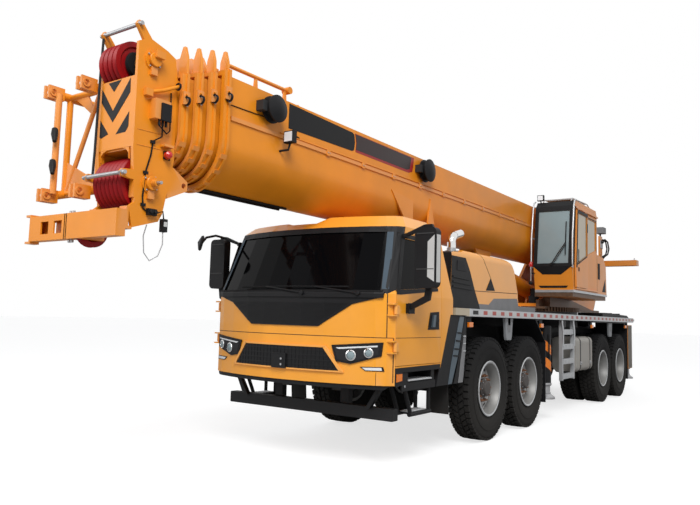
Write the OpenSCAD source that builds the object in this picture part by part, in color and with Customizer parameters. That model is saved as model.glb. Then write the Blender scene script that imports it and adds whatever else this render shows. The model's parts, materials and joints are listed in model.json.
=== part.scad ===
// Four-axle mobile crane: carrier with two cabs, slewing upper works, five-part telescopic boom.
// Millimetres. +X is forward, +Y the left side, +Z up. Places along the length are measured from
// the first axle and shifted to the middle of the overall length by place().

/* [Wheels] */
// outer diameter of the tyres
tyre_od = 1340; // [1280:5:1360]
// section width of one tyre
tyre_w = 330; // [300:5:340]
// outer diameter of the rim flange
rim_d = 720; // [680:5:740]
// gap between the tyres of a twin wheel
twin_gap = 60; // [40:2:70]
// gap between the tyres of the two steered axles
front_gap = 110; // [80:5:160]
// distance from the first axle back to the third
axle_3_back = 5720; // [5700:5:5760]
// gap between the tyres of the two driven axles
rear_gap = 60; // [40:5:70]
// diameter of the kingpins
kingpin_d = 60; // [50:2:70]
// diameter of the wheel spindles
spindle_d = 100; // [80:2:110]

/* [Carrier] */
// width over the deck
body_w = 2500; // [2480:5:2520]
// height of the deck's top face
deck_z = 1700; // [1690:2:1720]
// depth of the deck's edge
deck_edge = 100; // [80:2:110]
// width over the frame rails
frame_w = 840; // [800:5:860]
// thickness of one frame rail
rail_t = 120; // [80:5:140]
// lower face of the frame rails
rail_z0 = 980; // [960:5:1000]
// upper face of the frame rails
rail_z1 = 1480; // [1460:5:1500]
// wall of the cab shell
cab_wall = 45; // [35:1:55]
// highest point of the driver's cab
cab_top_z = 2680; // [2660:2:2690]
// gap around the cab doors
door_gap = 6; // [4:0.5:8]
// top of the engine hood
hood_z = 2440; // [2400:5:2460]
// wall of the engine hood
hood_wall = 30; // [20:1:40]

/* [Outriggers] */
// width of an outrigger beam
beam_w = 200; // [180:5:210]
// height of an outrigger beam
beam_h = 380; // [350:5:390]
// diameter of the jack housing
jack_d = 200; // [180:5:210]
// diameter of the jack rod
jack_rod_d = 130; // [110:5:140]
// diameter of the jack's foot
foot_d = 320; // [280:5:340]
// underside of the foot when stowed
foot_z = 330; // [310:5:350]

/* [Upper works] */
// distance from the first axle back to the slewing axis
slew_back = 4900; // [4880:5:4920]
// diameter of the slewing ring
ring_d = 1840; // [1800:10:1880]
// top of the carrier's ring seat
ring_z = 1760; // [1750:1:1775]
// thickness of the boom's foot cheeks
cheek_t = 60; // [40:2:70]
// diameter of the boom's foot pin
foot_pin_d = 160; // [140:5:180]
// wall of the operator's cab
op_wall = 40; // [30:1:45]

/* [Boom] */
// width of the boom's base section
boom_w = 800; // [780:4:808]
// step from one boom section to the next, on each side
boom_step = 40; // [36:1:42]
// plate thickness of the boom sections
boom_wall = 14; // [10:1:16]
// top of the base section
boom_top_z = 3740; // [3720:2:3760]
// height of the rounded bottom's centre
boom_mid_z = 3120; // [3115:1:3130]
// length of one collar along the boom
collar_l = 80; // [60:2:90]
// distance from collar to collar
collar_pitch = 125; // [110:1:130]
// diameter of the lift cylinder
lift_d = 310; // [280:5:320]
// diameter of the lift rod
lift_rod_d = 220; // [180:5:230]

/* [Hidden] */
$fn = 48;
fit = 0.05;       // running clearance of a pin in its bore
seat = 0.3;       // gap of a sliding piece to its seat
run_gap = 5;      // gap beside a turning piece
rest_gap = 45;    // room for the rubber pad between the boom and its rest
nose_x = 5150;
tail_x = -9050;
x_datum = -(nose_x + tail_x) / 2;
wheel_z = tyre_od / 2;
wheel_out = body_w / 2 - 10;
wheel_y = wheel_out - tyre_w / 2;
front_spacing = tyre_od + front_gap;
rear_spacing = tyre_od + rear_gap;
axle_x = [0, -front_spacing, -axle_3_back, -axle_3_back - rear_spacing];
king_y = wheel_y - 115;
twin_y = wheel_y - tyre_w - twin_gap;
slew_x = -slew_back;
boom_hw = boom_w / 2;
foot_x = slew_x - 2000;
foot_pz = 3050;
lift_ax = slew_x - 400;
lift_az = 2100;
lift_bx = slew_x + 2570;
lift_bz = 2570;
lift_len = norm([lift_bx - lift_ax, lift_bz - lift_az]);
lift_ang = atan2(lift_bz - lift_az, lift_bx - lift_ax);
front_rail_z = 1000;
box_f = -2335;    // front face of the front outrigger box
box_r = -7925;    // front face of the rear outrigger box
chan_w = beam_w + 30;
box_l = 2 * chan_w + 50;
box_y = body_w / 2 - 230;
beam_z0 = rail_z0 + 40;
jack_y = body_w / 2 - 120;
sec_rear = foot_x + 600;
collar_x = 4140;

// helpers
module place() { translate([x_datum, 0, 0]) children(); }
module both() { children(); mirror([0, 1, 0]) children(); }
module side(s) { if (s > 0) { children(); } else { mirror([0, 1, 0]) children(); } }
module box(x0, x1, y0, y1, z0, z1) { translate([x0, y0, z0]) cube([x1 - x0, y1 - y0, z1 - z0]); }
module xz(y0, y1) { translate([0, y1, 0]) rotate([90, 0, 0]) linear_extrude(height = y1 - y0) children(); }
module yz(x0, x1) { translate([x0, 0, 0]) rotate([90, 0, 90]) linear_extrude(height = x1 - x0) children(); }
module xy(z0, z1) { translate([0, 0, z0]) linear_extrude(height = z1 - z0) children(); }
module ycyl(d, x, z, y0, y1) { translate([x, y0, z]) rotate([-90, 0, 0]) cylinder(d = d, h = y1 - y0); }
module xcyl(d, y, z, x0, x1) { translate([x0, y, z]) rotate([0, 90, 0]) cylinder(d = d, h = x1 - x0); }
module zcyl(d, x, y, z0, z1) { translate([x, y, z0]) cylinder(d = d, h = z1 - z0); }
module rod(p, q, d) {
    v = q - p; l = norm(v);
    translate(p) rotate([0, acos(v[2] / l), atan2(v[1], v[0])]) cylinder(d = d, h = l);
}
module round_rect(x0, x1, y0, y1, r) {
    translate([x0 + r, y0]) square([x1 - x0 - 2 * r, y1 - y0]);
    translate([x0, y0 + r]) square([x1 - x0, y1 - y0 - 2 * r]);
    for (x = [x0 + r, x1 - r], y = [y0 + r, y1 - r]) translate([x, y]) circle(r = r);
}

// wheels
module tyre_ring() {
    hr = tyre_od / 2; hw = tyre_w / 2; b = rim_d / 2 - 30;
    rotate_extrude($fn = 72) difference() {
        polygon([[b, -hw + 40], [b + 45, -hw + 32], [b + 130, -hw + 2], [b + 175, -hw],
            [hr - 70, -hw + 8], [hr - 25, -hw + 22], [hr, -hw + 48], [hr, hw - 48],
            [hr - 25, hw - 22], [hr - 70, hw - 8], [b + 175, hw], [b + 130, hw - 2],
            [b + 45, hw - 32], [b, hw - 40]]);
        polygon([[b - 1, -hw + 75], [b + 70, -hw + 70], [b + 175, -hw + 38], [hr - 70, -hw + 50],
            [hr - 55, 0], [hr - 70, hw - 50], [b + 175, hw - 38], [b + 70, hw - 70], [b - 1, hw - 75]]);
    }
}
// rim barrel with flanges, disc centre at s (positive outwards)
module rim_ring(s) {
    b = rim_d / 2 - 30.5; hw = tyre_w / 2;
    rotate_extrude($fn = 72) polygon([[b - 14, -hw + 10], [b + 30, -hw + 10], [b + 30, -hw + 24],
        [b, -hw + 30], [b, hw - 30], [b + 30, hw - 24], [b + 30, hw - 10], [b - 14, hw - 10]]);
    difference() {
        translate([0, 0, s - 8]) cylinder(r = b - 10, h = 16);
        for (a = [0 : 36 : 324]) rotate(a) translate([b - 75, 0, s - 9]) cylinder(d = 60, h = 18);
    }
}
module hub_bolts(s, h) { for (a = [0 : 36 : 324]) rotate(a) translate([165, 0, s]) cylinder(d = 36, h = h); }
// wheel lying on Z, outer side up; z = 0 is the outer tyre's middle
module front_wheel_form() {
    tyre_ring();
    difference() {
        union() {
            rim_ring(35);
            translate([0, 0, -15]) cylinder(d = 250, h = 90);
            translate([0, 0, 75]) cylinder(d = 180, h = 50);
            hub_bolts(43, 26);
        }
        translate([0, 0, -16]) cylinder(d = spindle_d + 2 * fit, h = 120);
    }
}
module twin_wheel_form() {
    p = tyre_w + twin_gap; d1 = -95; d2 = -p + 95;
    tyre_ring();
    translate([0, 0, -p]) tyre_ring();
    difference() {
        union() {
            rim_ring(d1);
            translate([0, 0, -p]) rim_ring(95);
            translate([0, 0, d2]) cylinder(d = 400, h = d1 - d2);
            translate([0, 0, -p - 120]) cylinder(d = 440, h = d2 + p + 120);
            translate([0, 0, d1]) cylinder(d = 250, h = 60);
            translate([0, 0, d1 + 60]) cylinder(d = 200, h = 50);
            hub_bolts(d1 + 8, 30);
        }
        translate([0, 0, -p - 121]) cylinder(d = spindle_d + 2 * fit, h = d1 + p + 121 + 90);
    }
}
module wheel_at(i, s) {
    place() side(s) translate([axle_x[i], wheel_y, wheel_z]) rotate([-90, 0, 0]) {
        if (i < 2) { front_wheel_form(); } else { twin_wheel_form(); }
    }
}
module knuckle_at(i, s) {
    z = wheel_z; y1 = wheel_y - 20;
    color([0.16, 0.16, 0.17]) place() side(s) translate([axle_x[i], 0, 0]) {
        zcyl(kingpin_d, 0, king_y, z - 150, z + 150);
        for (e = [-1, 1]) {
            z0 = e > 0 ? z + 90 + run_gap : z - 150;
            zcyl(140, 0, king_y, z0, z0 + 55);
            box(-70, 70, king_y, y1, z0, z0 + 55);
        }
        box(-70, 70, king_y + 70, y1, z - 150, z + 150);
        ycyl(spindle_d, 0, z, y1 - 5, wheel_y + 95);
        box(-190, -40, king_y + 40, y1 - 5, z - 130, z - 100);
    }
}
module axles() {
    z = wheel_z; ri = frame_w / 2 - rail_t;
    color([0.15, 0.15, 0.16]) place() {
        for (i = [0, 1]) translate([axle_x[i], 0, 0]) difference() {
            union() {
                xz(-king_y + 40, king_y - 40) difference() {
                    translate([-60, z - 75]) square([120, 150]);
                    for (e = [-1, 1]) translate([e * 55 - 30, z - 50]) square([60, 100]);
                }
                both() {
                    box(-60, 60, king_y - 160, king_y - 20, z - 75, z + 75);
                    zcyl(120, 0, king_y, z - 90, z + 90);
                    for (k = [0 : 3]) box(-520 + 90 * k, 520 - 90 * k, ri + 20, ri + 100, z + 75 + k * 22, z + 95 + k * 22);
                    box(-70, 70, ri + 10, ri + 110, z + 70, z + 165);
                    for (e = [-1, 1]) box(e * 480 - 40, e * 480 + 40, ri + 20, ri + 100, z + 76, rail_z0);
                }
            }
            both() zcyl(kingpin_d + 2 * fit, 0, king_y, z - 100, z + 100);
        }
        for (i = [2, 3]) translate([axle_x[i], 0, 0]) {
            hy = twin_y - 135;
            ycyl(190, 0, z, -hy, hy);
            ycyl(480, 0, z, -150, 150);
            translate([0, 0, z]) rotate([0, 90, 0]) cylinder(d1 = 360, d2 = 200, h = 330);
            both() {
                ycyl(spindle_d, 0, z, hy - 5, wheel_y - 20);
                for (k = [0 : 3]) box(-520 + 90 * k, 520 - 90 * k, ri + 20, ri + 100, z + 90 + k * 22, z + 110 + k * 22);
                box(-90, 90, ri + 10, ri + 110, z + 40, z + 178);
                for (e = [-1, 1]) box(e * 480 - 40, e * 480 + 40, ri + 20, ri + 100, z + 91, rail_z0);
            }
        }
    }
}

// carrier
module outrigger_box(xf) {
    difference() {
        box(xf - box_l, xf, -box_y, box_y, rail_z0, rail_z1);
        outrigger_channels(xf);
    }
}
module outrigger_channels(xf) {
    for (c = [0, 1]) {
        x1 = xf - 15 - c * (chan_w + 20);
        box(x1 - chan_w, x1, -box_y - 1, box_y + 1, beam_z0 - seat, beam_z0 + beam_h + 20);
    }
}
module chassis_frame() {
    x_end = box_r - box_l - 60;
    color([0.13, 0.13, 0.14]) place() difference() {
        union() {
            both() xz(frame_w / 2 - rail_t, frame_w / 2) polygon([[x_end, rail_z0], [x_end, rail_z1],
                [760, rail_z1], [1060, front_rail_z], [2250, front_rail_z], [2250, 740], [960, 740], [660, rail_z0]]);
            for (x = [650, -735, -1900, -3300, -6420, -7600, x_end + 60])
                box(x - 60, x + 60, -frame_w / 2, frame_w / 2, rail_z0 + 150, rail_z1 - 20);
            for (x = [740, -735, -2080, -3300, -6420, -7700]) {
                w = x < axle_x[2] ? frame_w / 2 : body_w / 2 - 45;
                box(x - 45, x + 45, -w, w, rail_z1, deck_z - 60);
            }
            box(2130, 2250, -frame_w / 2, frame_w / 2, 760, 980);
            for (xf = [box_f, box_r]) box(xf - box_l, xf, -box_y, box_y, rail_z0, rail_z1);
            box(slew_x - 1000, slew_x + 1000, -480, 480, rail_z1 - 120, rail_z1);
            zcyl(ring_d, slew_x, 0, rail_z1 - 10, ring_z);
            box(x_end - 30, x_end, -frame_w / 2, frame_w / 2, rail_z0, rail_z1);
        }
        for (xf = [box_f, box_r]) outrigger_channels(xf);
        zcyl(600 + 2 * fit, slew_x, 0, rail_z1 - 200, ring_z + 1);
    }
}
module deck() {
    x0 = box_r - box_l + 60; x1 = 790; hw = body_w / 2;
    color([0.42, 0.43, 0.44]) place() difference() {
        union() {
            box(x0, x1, -hw, hw, deck_z - 60, deck_z);
            both() box(x0, x1, hw - 40, hw, deck_z - deck_edge, deck_z);
            box(x0, x0 + 40, -hw, hw, deck_z - deck_edge, deck_z);
        }
        zcyl(ring_d + 40, slew_x, 0, deck_z - 200, deck_z + 10);
        box(-780, 700, -330, 330, deck_z - 200, deck_z + 10);
    }
}
// bow of the cab's front in plan: share of the half width, and set-back as a share of it
bow = [[0, 0], [0.22, 0.006], [0.43, 0.03], [0.67, 0.084], [0.86, 0.144], [0.95, 0.188], [1, 0.248]];
function cab_ring(fx, rx, hw, z) = let (n = len(bow)) concat([[rx, -hw, z]],
    [for (i = [n - 1 : -1 : 0]) [fx - hw * bow[i][1], -hw * bow[i][0], z]],
    [for (i = [1 : n - 1]) [fx - hw * bow[i][1], hw * bow[i][0], z]], [[rx, hw, z]]);
// solid through rings of equal count, lowest ring first
module loft(rings) {
    n = len(rings[0]); m = len(rings);
    polyhedron(points = [for (r = rings) each r], faces = concat([[for (i = [0 : n - 1]) i]],
        [for (k = [0 : m - 2], i = [0 : n - 1]) [k * n + i, (k + 1) * n + i, (k + 1) * n + (i + 1) % n, k * n + (i + 1) % n]],
        [[for (i = [n - 1 : -1 : 0]) (m - 1) * n + i]]));
}
cab_belt = 1800;
cab_eave = 2540;
cab_bottom = 870;
cab_floor = front_rail_z;
cab_hw = body_w / 2;
cab_nose = 2790;
cab_side_x = cab_nose - cab_hw * bow[len(bow) - 1][1];   // where the bowed front meets the side
roof_t = 80;      // depth of the roof between the outer skin and the inner wall
// the cab's solid outline, drawn in by t
module cab_body(t) {
    difference() {
        loft([cab_ring(cab_nose - t, 1165 + t, cab_hw - t, t > 0 ? cab_floor + t : cab_bottom),
            cab_ring(cab_nose - t, 1165 + t, cab_hw - t, cab_belt),
            cab_ring(cab_nose - 310 - t, 1400 + t, cab_hw - 75 - t, cab_eave),
            cab_ring(cab_nose - 490 - t, 1500 + t, cab_hw - 200 - t, cab_top_z - (t > 0 ? roof_t + t : 0))]);
        xz(-cab_hw - 1, cab_hw + 1) polygon([[1100, 800], [1560 + t, 800], [1450 + t, 1060],
            [1225 + t, 1612 + t], [1100, 1612 + t]]);
        if (t == 0) {
            box(1000, 2330, -cab_hw - 1, cab_hw + 1, 800, cab_floor);
            box(2320, 2600, -cab_hw + 150, cab_hw - 150, 800, cab_floor);
        }
    }
}
module door_outline(g) {
    x = cab_side_x - 2;
    polygon([[x - g, 1062 + g], [1462 + g, 1062 + g], [1452 + g, 2470 - g], [x - 195 - g, 2470 - g],
        [x - g, 1840]]);
}
module door_window() {
    x = cab_side_x - 85;
    polygon([[x, 1850], [1535, 1910], [1535, 2405], [x - 165, 2405]]);
}
module screen_outline() { polygon([[-1120, 1815], [1120, 1815], [1035, 2505], [-1035, 2505]]); }
hinge_x = cab_side_x + 12;
hinge_y = cab_hw + 8;
hinge_z = [1260, 1640];
knuckle_d = 42;   // outer diameter of the door hinge's knuckle
module cab_skin() { difference() { cab_body(0); cab_body(cab_wall); } }
module cab_shell() {
    color([0.96, 0.66, 0.13]) place() {
        difference() {
            cab_skin();
            both() xz(cab_hw - 200, cab_hw + 10) door_outline(0);
            yz(2150, 2900) screen_outline();
            yz(1000, 1480) polygon([[-480, 2010], [480, 2010], [440, 2400], [-440, 2400]]);
            // the roof dips under the boom and stays lower on the right
            yz(1000, cab_nose) polygon([[-cab_hw, cab_top_z + 40], [-cab_hw, cab_top_z - 50], [-330, cab_top_z - 50],
                [-240, cab_top_z - 72], [120, cab_top_z - 72], [250, cab_top_z + 5], [250, cab_top_z + 40]]);
            both() for (z = hinge_z) {
                zcyl(knuckle_d + 2 * run_gap, hinge_x, hinge_y, z - 50, z + 50);
                box(hinge_x - 30, hinge_x, cab_hw - 6 - run_gap, hinge_y + 30, z - 50, z + 50);
            }
        }
        both() for (z = hinge_z) {
            for (e = [-1, 1]) box(hinge_x - 5, hinge_x + 60, cab_hw - 70, hinge_y + 18, z + e * 58 - 8, z + e * 58 + 8);
            zcyl(20, hinge_x, hinge_y, z - 66, z + 66);
        }
    }
}
module cab_pane() { difference() { cab_body(14); cab_body(22); } }
module cab_glass() {
    color([0.10, 0.13, 0.15]) place() {
        intersection() { cab_pane(); yz(2150, 2900) screen_outline(); }
        intersection() { cab_pane(); yz(1000, 1480) polygon([[-480, 2010], [480, 2010], [440, 2400], [-440, 2400]]); }
    }
}
module door_form(s) {
    side(s) {
        difference() {
            intersection() { cab_skin(); xz(cab_hw - 200, cab_hw + 10) door_outline(door_gap); }
            xz(cab_hw - 300, cab_hw + 20) door_window();
        }
        for (z = hinge_z) difference() {
            union() {
                zcyl(knuckle_d, hinge_x, hinge_y, z - 45, z + 45);
                box(hinge_x - 60, hinge_x, cab_hw - 6, cab_hw + 20, z - 45, z + 45);
            }
            zcyl(20 + 2 * fit, hinge_x, hinge_y, z - 46, z + 46);
        }
        box(1560, 1690, cab_hw - 2, cab_hw + 26, 1520, 1560);
    }
}
module door_glass_form(s) { side(s) intersection() { cab_pane(); xz(cab_hw - 300, cab_hw + 20) door_window(); } }
module door_left() { color([0.96, 0.66, 0.13]) place() door_form(1); }
module door_right() { color([0.96, 0.66, 0.13]) place() door_form(-1); }
module door_left_glass() { color([0.10, 0.13, 0.15]) place() door_glass_form(1); }
module door_right_glass() { color([0.10, 0.13, 0.15]) place() door_glass_form(-1); }
mirror_y = cab_hw + 380;
module mirror_form(s) {
    y_top = cab_hw - 75 * (2412 - cab_belt) / (cab_eave - cab_belt);
    side(s) {
        yz(2240, 2345) round_rect(mirror_y - 250, mirror_y, 1870, 2500, 60);
        yz(2225, 2265) polygon([[y_top + 10, 2415], [y_top + 10, 2445], [mirror_y - 180, 2540], [mirror_y - 95, 2540],
            [mirror_y - 70, 2470], [mirror_y - 125, 2470], [mirror_y - 165, 2500]]);
        yz(2225, 2265) polygon([[cab_hw + 10, 1630], [cab_hw + 10, 1690], [mirror_y - 175, 1790],
            [mirror_y - 155, 1900], [mirror_y - 90, 1900], [mirror_y - 115, 1750]]);
        box(2180, 2280, cab_hw, cab_hw + 30, 1610, 1710);
        box(2200, 2270, y_top + 1, y_top + 46, 2412, 2448);
    }
}
module mirror_left() { color([0.09, 0.09, 0.10]) place() mirror_form(1); }
module mirror_right() { color([0.09, 0.09, 0.10]) place() mirror_form(-1); }
// black front panels, set on the bowed front
module front_panel(pts, t0, t1) {
    intersection() {
        difference() { cab_body_front(-t1); cab_body_front(t0); }
        yz(2300, 2950) polygon(pts);
    }
}
module cab_body_front(t) { loft([for (z = [cab_bottom, cab_belt]) cab_ring(cab_nose - t, 1165, cab_hw, z)]); }
module cab_trim() {
    color([0.08, 0.08, 0.09]) place() {
        front_panel([[-1150, cab_belt], [1150, cab_belt], [1150, 1765], [850, 1690], [470, 1450], [-470, 1450],
            [-850, 1690], [-1150, 1765]], 0, 12);
        front_panel([[-540, 1230], [540, 1230], [720, 1000], [-720, 1000]], 0, 14);
    }
}
module lamps() {
    color([0.85, 0.87, 0.88]) place() {
        both() front_panel([[650, 1250], [1130, 1290], [1090, 1180], [835, 1090], [700, 1110]], 0, 16);
        x0 = box_r - box_l - 90;
        both() box(x0 - 40, x0, 270, 420, 1150, 1290);
    }
}
module cab_interior() {
    color([0.17, 0.18, 0.19]) place() {
        zf = cab_floor + cab_wall;
        for (y = [-620, 620]) {
            box(1560, 1980, y - 230, y + 230, zf, zf + 280);
            xz(y - 230, y + 230) polygon([[1560, zf + 280], [1980, zf + 280], [1980, zf + 360], [1680, zf + 380],
                [1560, zf + 1060], [1480, zf + 1060], [1500, zf + 380]]);
        }
        xz(-cab_hw + 450, cab_hw - 450) polygon([[2560, zf], [2600, 1740], [2300, 1760], [2240, 1560], [2380, zf]]);
        rod([2280, 620, 1650], [2130, 620, 1800], 50);
        translate([2130, 620, 1800]) rotate([0, -45, 0]) rotate_extrude() translate([200, 0]) circle(d = 34);
        translate([2130, 620, 1800]) rotate([0, -45, 0]) for (a = [0, 120, 240]) rotate(a) rotate([0, 90, 0]) cylinder(d = 26, h = 200);
    }
}
module front_guard() {
    color([0.17, 0.17, 0.18]) place() {
        yz(2250, 2350) round_rect(-1160, 1160, 487, 615, 12);
        both() {
            box(2170, 2250, frame_w / 2, frame_w / 2 + 110, 500, 990);
            yz(2332, 2392) polygon([[840, 600], [890, 600], [1070, cab_bottom], [1015, cab_bottom]]);
        }
    }
}
module access_steps() {
    y1 = body_w / 2 - 20; zs = 540; tube = 44;
    color([0.66, 0.67, 0.68]) place() both() {
        // box step under the cab door, with a tube loop below it
        difference() {
            box(1585, 2325, y1 - 250, y1, 860, cab_floor);
            box(1660, 2200, y1 - 200, y1 + 1, 890, cab_floor - 8);
        }
        box(1660, 2200, y1 - 200, y1 - 10, 882, 900);
        for (y = [y1 - 190, y1 - 30]) {
            rod([2220, y, 870], [2050, y, zs], tube);
            rod([1660, y, 870], [1660, y, zs], tube);
            rod([2085, y, zs], [1625, y, zs], tube + 6);
        }
        box(1660, 2030, y1 - 190, y1 - 30, zs - 6, zs + 14);
        // deck ladder
        for (x = [-3100, -3740]) box(x - 25, x + 25, y1 - 60, y1, 580, deck_z - deck_edge);
        for (k = [0 : 3]) box(-3740, -3100, y1 - 65, y1 - 5, 600 + 250 * k, 690 + 250 * k);
    }
}
module mudguards() {
    y1 = body_w / 2 - 20; xb = axle_x[3] - tyre_od / 2 - 55; xa = axle_x[2] + tyre_od / 2 + 45;
    color([0.07, 0.07, 0.08]) place() both() {
        difference() {
            xz(860, y1) polygon([[1215, 1605], [800, 1605], [800, 1560], [860, 1400], [980, 1040], [1090, 800],
                [1530, 800], [1440, 1060]]);
            xz(859, y1 - 25) polygon([[1190, 1575], [850, 1575], [900, 1400], [1020, 1040], [1120, 825],
                [1500, 825], [1410, 1060]]);
        }
        box(790, 840, 860, y1, 1560, 1640);
        // over the driven axles
        difference() {
            box(xb, xa, twin_y - tyre_w / 2, y1, deck_z - deck_edge - 25, deck_z - deck_edge);
            zcyl(ring_d + 60, slew_x, 0, deck_z - deck_edge - 30, deck_z);
        }
        box(xb - 15, xb, twin_y - tyre_w / 2, y1, 330, deck_z - deck_edge);
        // flap behind the second axle
        xf = axle_x[1] - tyre_od / 2 - 80;
        box(xf - 15, xf, 700, y1, 300, 1250);
        xz(700, y1) polygon([[xf - 15, 1240], [xf, 1240], [-1750, 1585], [-1750, deck_z - deck_edge], [-1775, deck_z - deck_edge]]);
        box(-1900, -1750, y1 - 20, y1, 1575, deck_z - deck_edge);
    }
}
hood_hw = body_w / 2 - 60;
hood_r = 110;      // rounding of the hood's long top edges
// hood outline drawn in by t: side profile crossed with a round-shouldered section
module hood_solid(t) {
    intersection() {
        xz(-hood_hw + t, hood_hw - t) polygon([[1130 - t, deck_z - 1], [1090 - t, 2370 - t], [970, 2395 - t], [790, 2395 - t],
            [600, hood_z - t], [-690, hood_z - t], [-850, 2380 - t], [-960 + t, 2270], [-1090 + t, 1960],
            [-1120 + t, 1760], [-1120 + t, deck_z - 1]]);
        yz(-1300, 1300) round_rect(-hood_hw + t, hood_hw - t, deck_z - 2 * hood_r, hood_z - t, hood_r);
    }
}
module engine_hood() {
    color([0.95, 0.62, 0.14]) place() intersection() {
        difference() {
            hood_solid(0);
            intersection() { hood_solid(hood_wall); box(-1300, 790, -1300, 1300, deck_z - 2, 2700); }
        }
        box(-1300, 1300, -1300, 1300, deck_z, 2700);
    }
}
module engine_block() {
    color([0.30, 0.31, 0.32]) place() box(-655, 580, -frame_w / 2 + rail_t, frame_w / 2 - rail_t, 1050, 2240);
}
module exhaust_pipe() {
    color([0.82, 0.83, 0.84]) place() translate([880, hood_hw - hood_r, 0]) {
        zcyl(108, 0, 0, 2395, 2510);
        translate([-110, 0, 2500]) rotate([90, 0, 0]) rotate_extrude(angle = 75) translate([110, 0]) circle(d = 100);
        translate([-110, 0, 2500]) rotate([0, -75, 0]) translate([110, 0, -10]) cylinder(d = 108, h = 180);
    }
}
module side_tanks() {
    y1 = body_w / 2 - 40; y0 = y1 - 430; x0 = axle_x[2] + tyre_od / 2 + 70; x1 = -3930;
    color([0.62, 0.64, 0.66]) place() both() {
        yz(x0, x1) round_rect(y0, y1, 680, 1300, 90);
        for (x = [x0 + 180, x1 - 250]) {
            box(x - 45, x + 45, frame_w / 2, y0 + 60, 1050, 1250);
            yz(x - 30, x + 30) round_rect(y0 - 8, y1 + 8, 672, 1308, 98);
        }
    }
}
module boom_rest() {
    zs = boom_mid_z - boom_hw - rest_gap;
    color([0.93, 0.52, 0.10]) place() {
        both() box(-320, -200, 140, 220, hood_z, zs - 70);
        box(-340, -180, -300, 300, hood_z, hood_z + 30);
        box(-330, -190, -240, 240, zs - 70, zs);
    }
}

// outriggers
module beam_at(xf, s) {
    c = s > 0 ? 0 : 1;
    x1 = xf - 15 - c * (chan_w + 20) - (chan_w - beam_w) / 2; xc = x1 - beam_w / 2;
    color([0.93, 0.52, 0.10]) place() side(s) difference() {
        union() {
            box(x1 - beam_w, x1, -box_y + 60, jack_y, beam_z0, beam_z0 + beam_h);
            zcyl(jack_d, xc, jack_y, 540, rail_z1 + 20);
            if (xf == box_r) box(xc - 190, xc + 190, jack_y + jack_d / 2 - 8, jack_y + jack_d / 2 + 8, 560, rail_z1 + 60);
        }
        zcyl(jack_rod_d + 2 * seat, xc, jack_y, 530, rail_z1 - 40);
        box(x1 - beam_w + 16, x1 - 16, -box_y + 50, jack_y - jack_d / 2 - 10, beam_z0 + 16, beam_z0 + beam_h - 16);
    }
}
module jack_at(xf, s) {
    c = s > 0 ? 0 : 1;
    xc = xf - 15 - c * (chan_w + 20) - chan_w / 2;
    color([0.55, 0.56, 0.58]) place() side(s) {
        zcyl(jack_rod_d, xc, jack_y, foot_z + 60, rail_z1 - 60);
        zcyl(jack_rod_d + 40, xc, jack_y, foot_z + 60, 530);
        translate([xc, jack_y, foot_z]) cylinder(d1 = foot_d, d2 = foot_d, h = 30);
        translate([xc, jack_y, foot_z + 30]) cylinder(d1 = foot_d, d2 = 190, h = 50);
    }
}

// upper works
module turntable() {
    z0 = ring_z + seat; zp = z0 + 90; yc = boom_hw + 30;
    color([0.93, 0.52, 0.10]) place() difference() {
        union() {
            zcyl(ring_d, slew_x, 0, z0, zp);
            zcyl(600, slew_x, 0, rail_z1 - 100, z0 + 1);
            box(slew_x - 2900, slew_x + 900, -620, 620, zp - 40, zp);
            both() xz(yc, yc + cheek_t) polygon([[slew_x + 850, zp - 40], [slew_x + 850, zp + 120], [slew_x - 300, zp + 320],
                [foot_x + 420, foot_pz + 260], [foot_x - 320, foot_pz + 260], [foot_x - 560, foot_pz - 100],
                [slew_x - 3300, 2700], [slew_x - 3300, 2350], [slew_x - 2900, zp - 40]]);
            both() ycyl(foot_pin_d + 140, foot_x, foot_pz, yc, yc + cheek_t + 40);
            box(slew_x - 2900, slew_x - 2840, -yc - 1, yc + 1, zp - 40, 2300);
            box(slew_x + 780, slew_x + 840, -yc - 1, yc + 1, zp - 40, zp + 60);
            both() xz(120, 160) polygon([[lift_ax - 260, zp - 10], [lift_ax + 260, zp - 10], [lift_ax + 130, lift_az + 120],
                [lift_ax - 130, lift_az + 120]]);
            xz(yc + cheek_t - 1, body_w / 2 - 60) polygon([[slew_x + 1080, 2030], [slew_x + 1080, 2110], [slew_x - 1200, 2110],
                [slew_x - 1200, 2030]]);
            box(slew_x - 600, slew_x + 600, yc + cheek_t - 1, yc + cheek_t + 130, zp - 40, 2060);
        }
        ycyl(foot_pin_d + 2 * fit, foot_x, foot_pz, -1000, 1000);
        ycyl(120 + 2 * fit, lift_ax, lift_az, -200, 200);
    }
}
op_y0 = boom_hw + 30 + cheek_t + 10;
op_y1 = 1205;
module op_profile(t) {
    polygon([[slew_x + 1080 - t, 2110 + t], [slew_x + 1170 - t, 2580], [slew_x + 1040 - t, 3700], [slew_x + 950 - t, 3800 - t],
        [slew_x - 440 + t, 3800 - t], [slew_x - 510 + t, 3700], [slew_x - 510 + t, 2930 - t],
        [slew_x - 1000, 2900 - t], [slew_x - 1190 + t, 2720], [slew_x - 1240 + t, 2110 + t]]);
}
module op_door_outline(g) {
    polygon([[slew_x + 1010 - g, 2200 + g], [slew_x + 1040 - g, 2600], [slew_x + 940 - g, 3640 - g],
        [slew_x + 260 + g, 3640 - g], [slew_x + 260 + g, 2200 + g]]);
}
module op_door_window() {
    polygon([[slew_x + 970, 2620], [slew_x + 890, 3570], [slew_x + 330, 3570], [slew_x + 330, 2820]]);
}
module op_front_window() { polygon([[op_y0 + 60, 2240], [op_y1 - 60, 2240], [op_y1 - 60, 3640], [op_y0 + 60, 3640]]); }
module op_rear_window() {
    polygon([[slew_x + 190, 2850], [slew_x + 190, 3570], [slew_x - 420, 3570], [slew_x - 420, 3000]]);
}
module op_skin() { difference() { xz(op_y0, op_y1) op_profile(0); xz(op_y0 + op_wall, op_y1 - op_wall) op_profile(op_wall); } }
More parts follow.
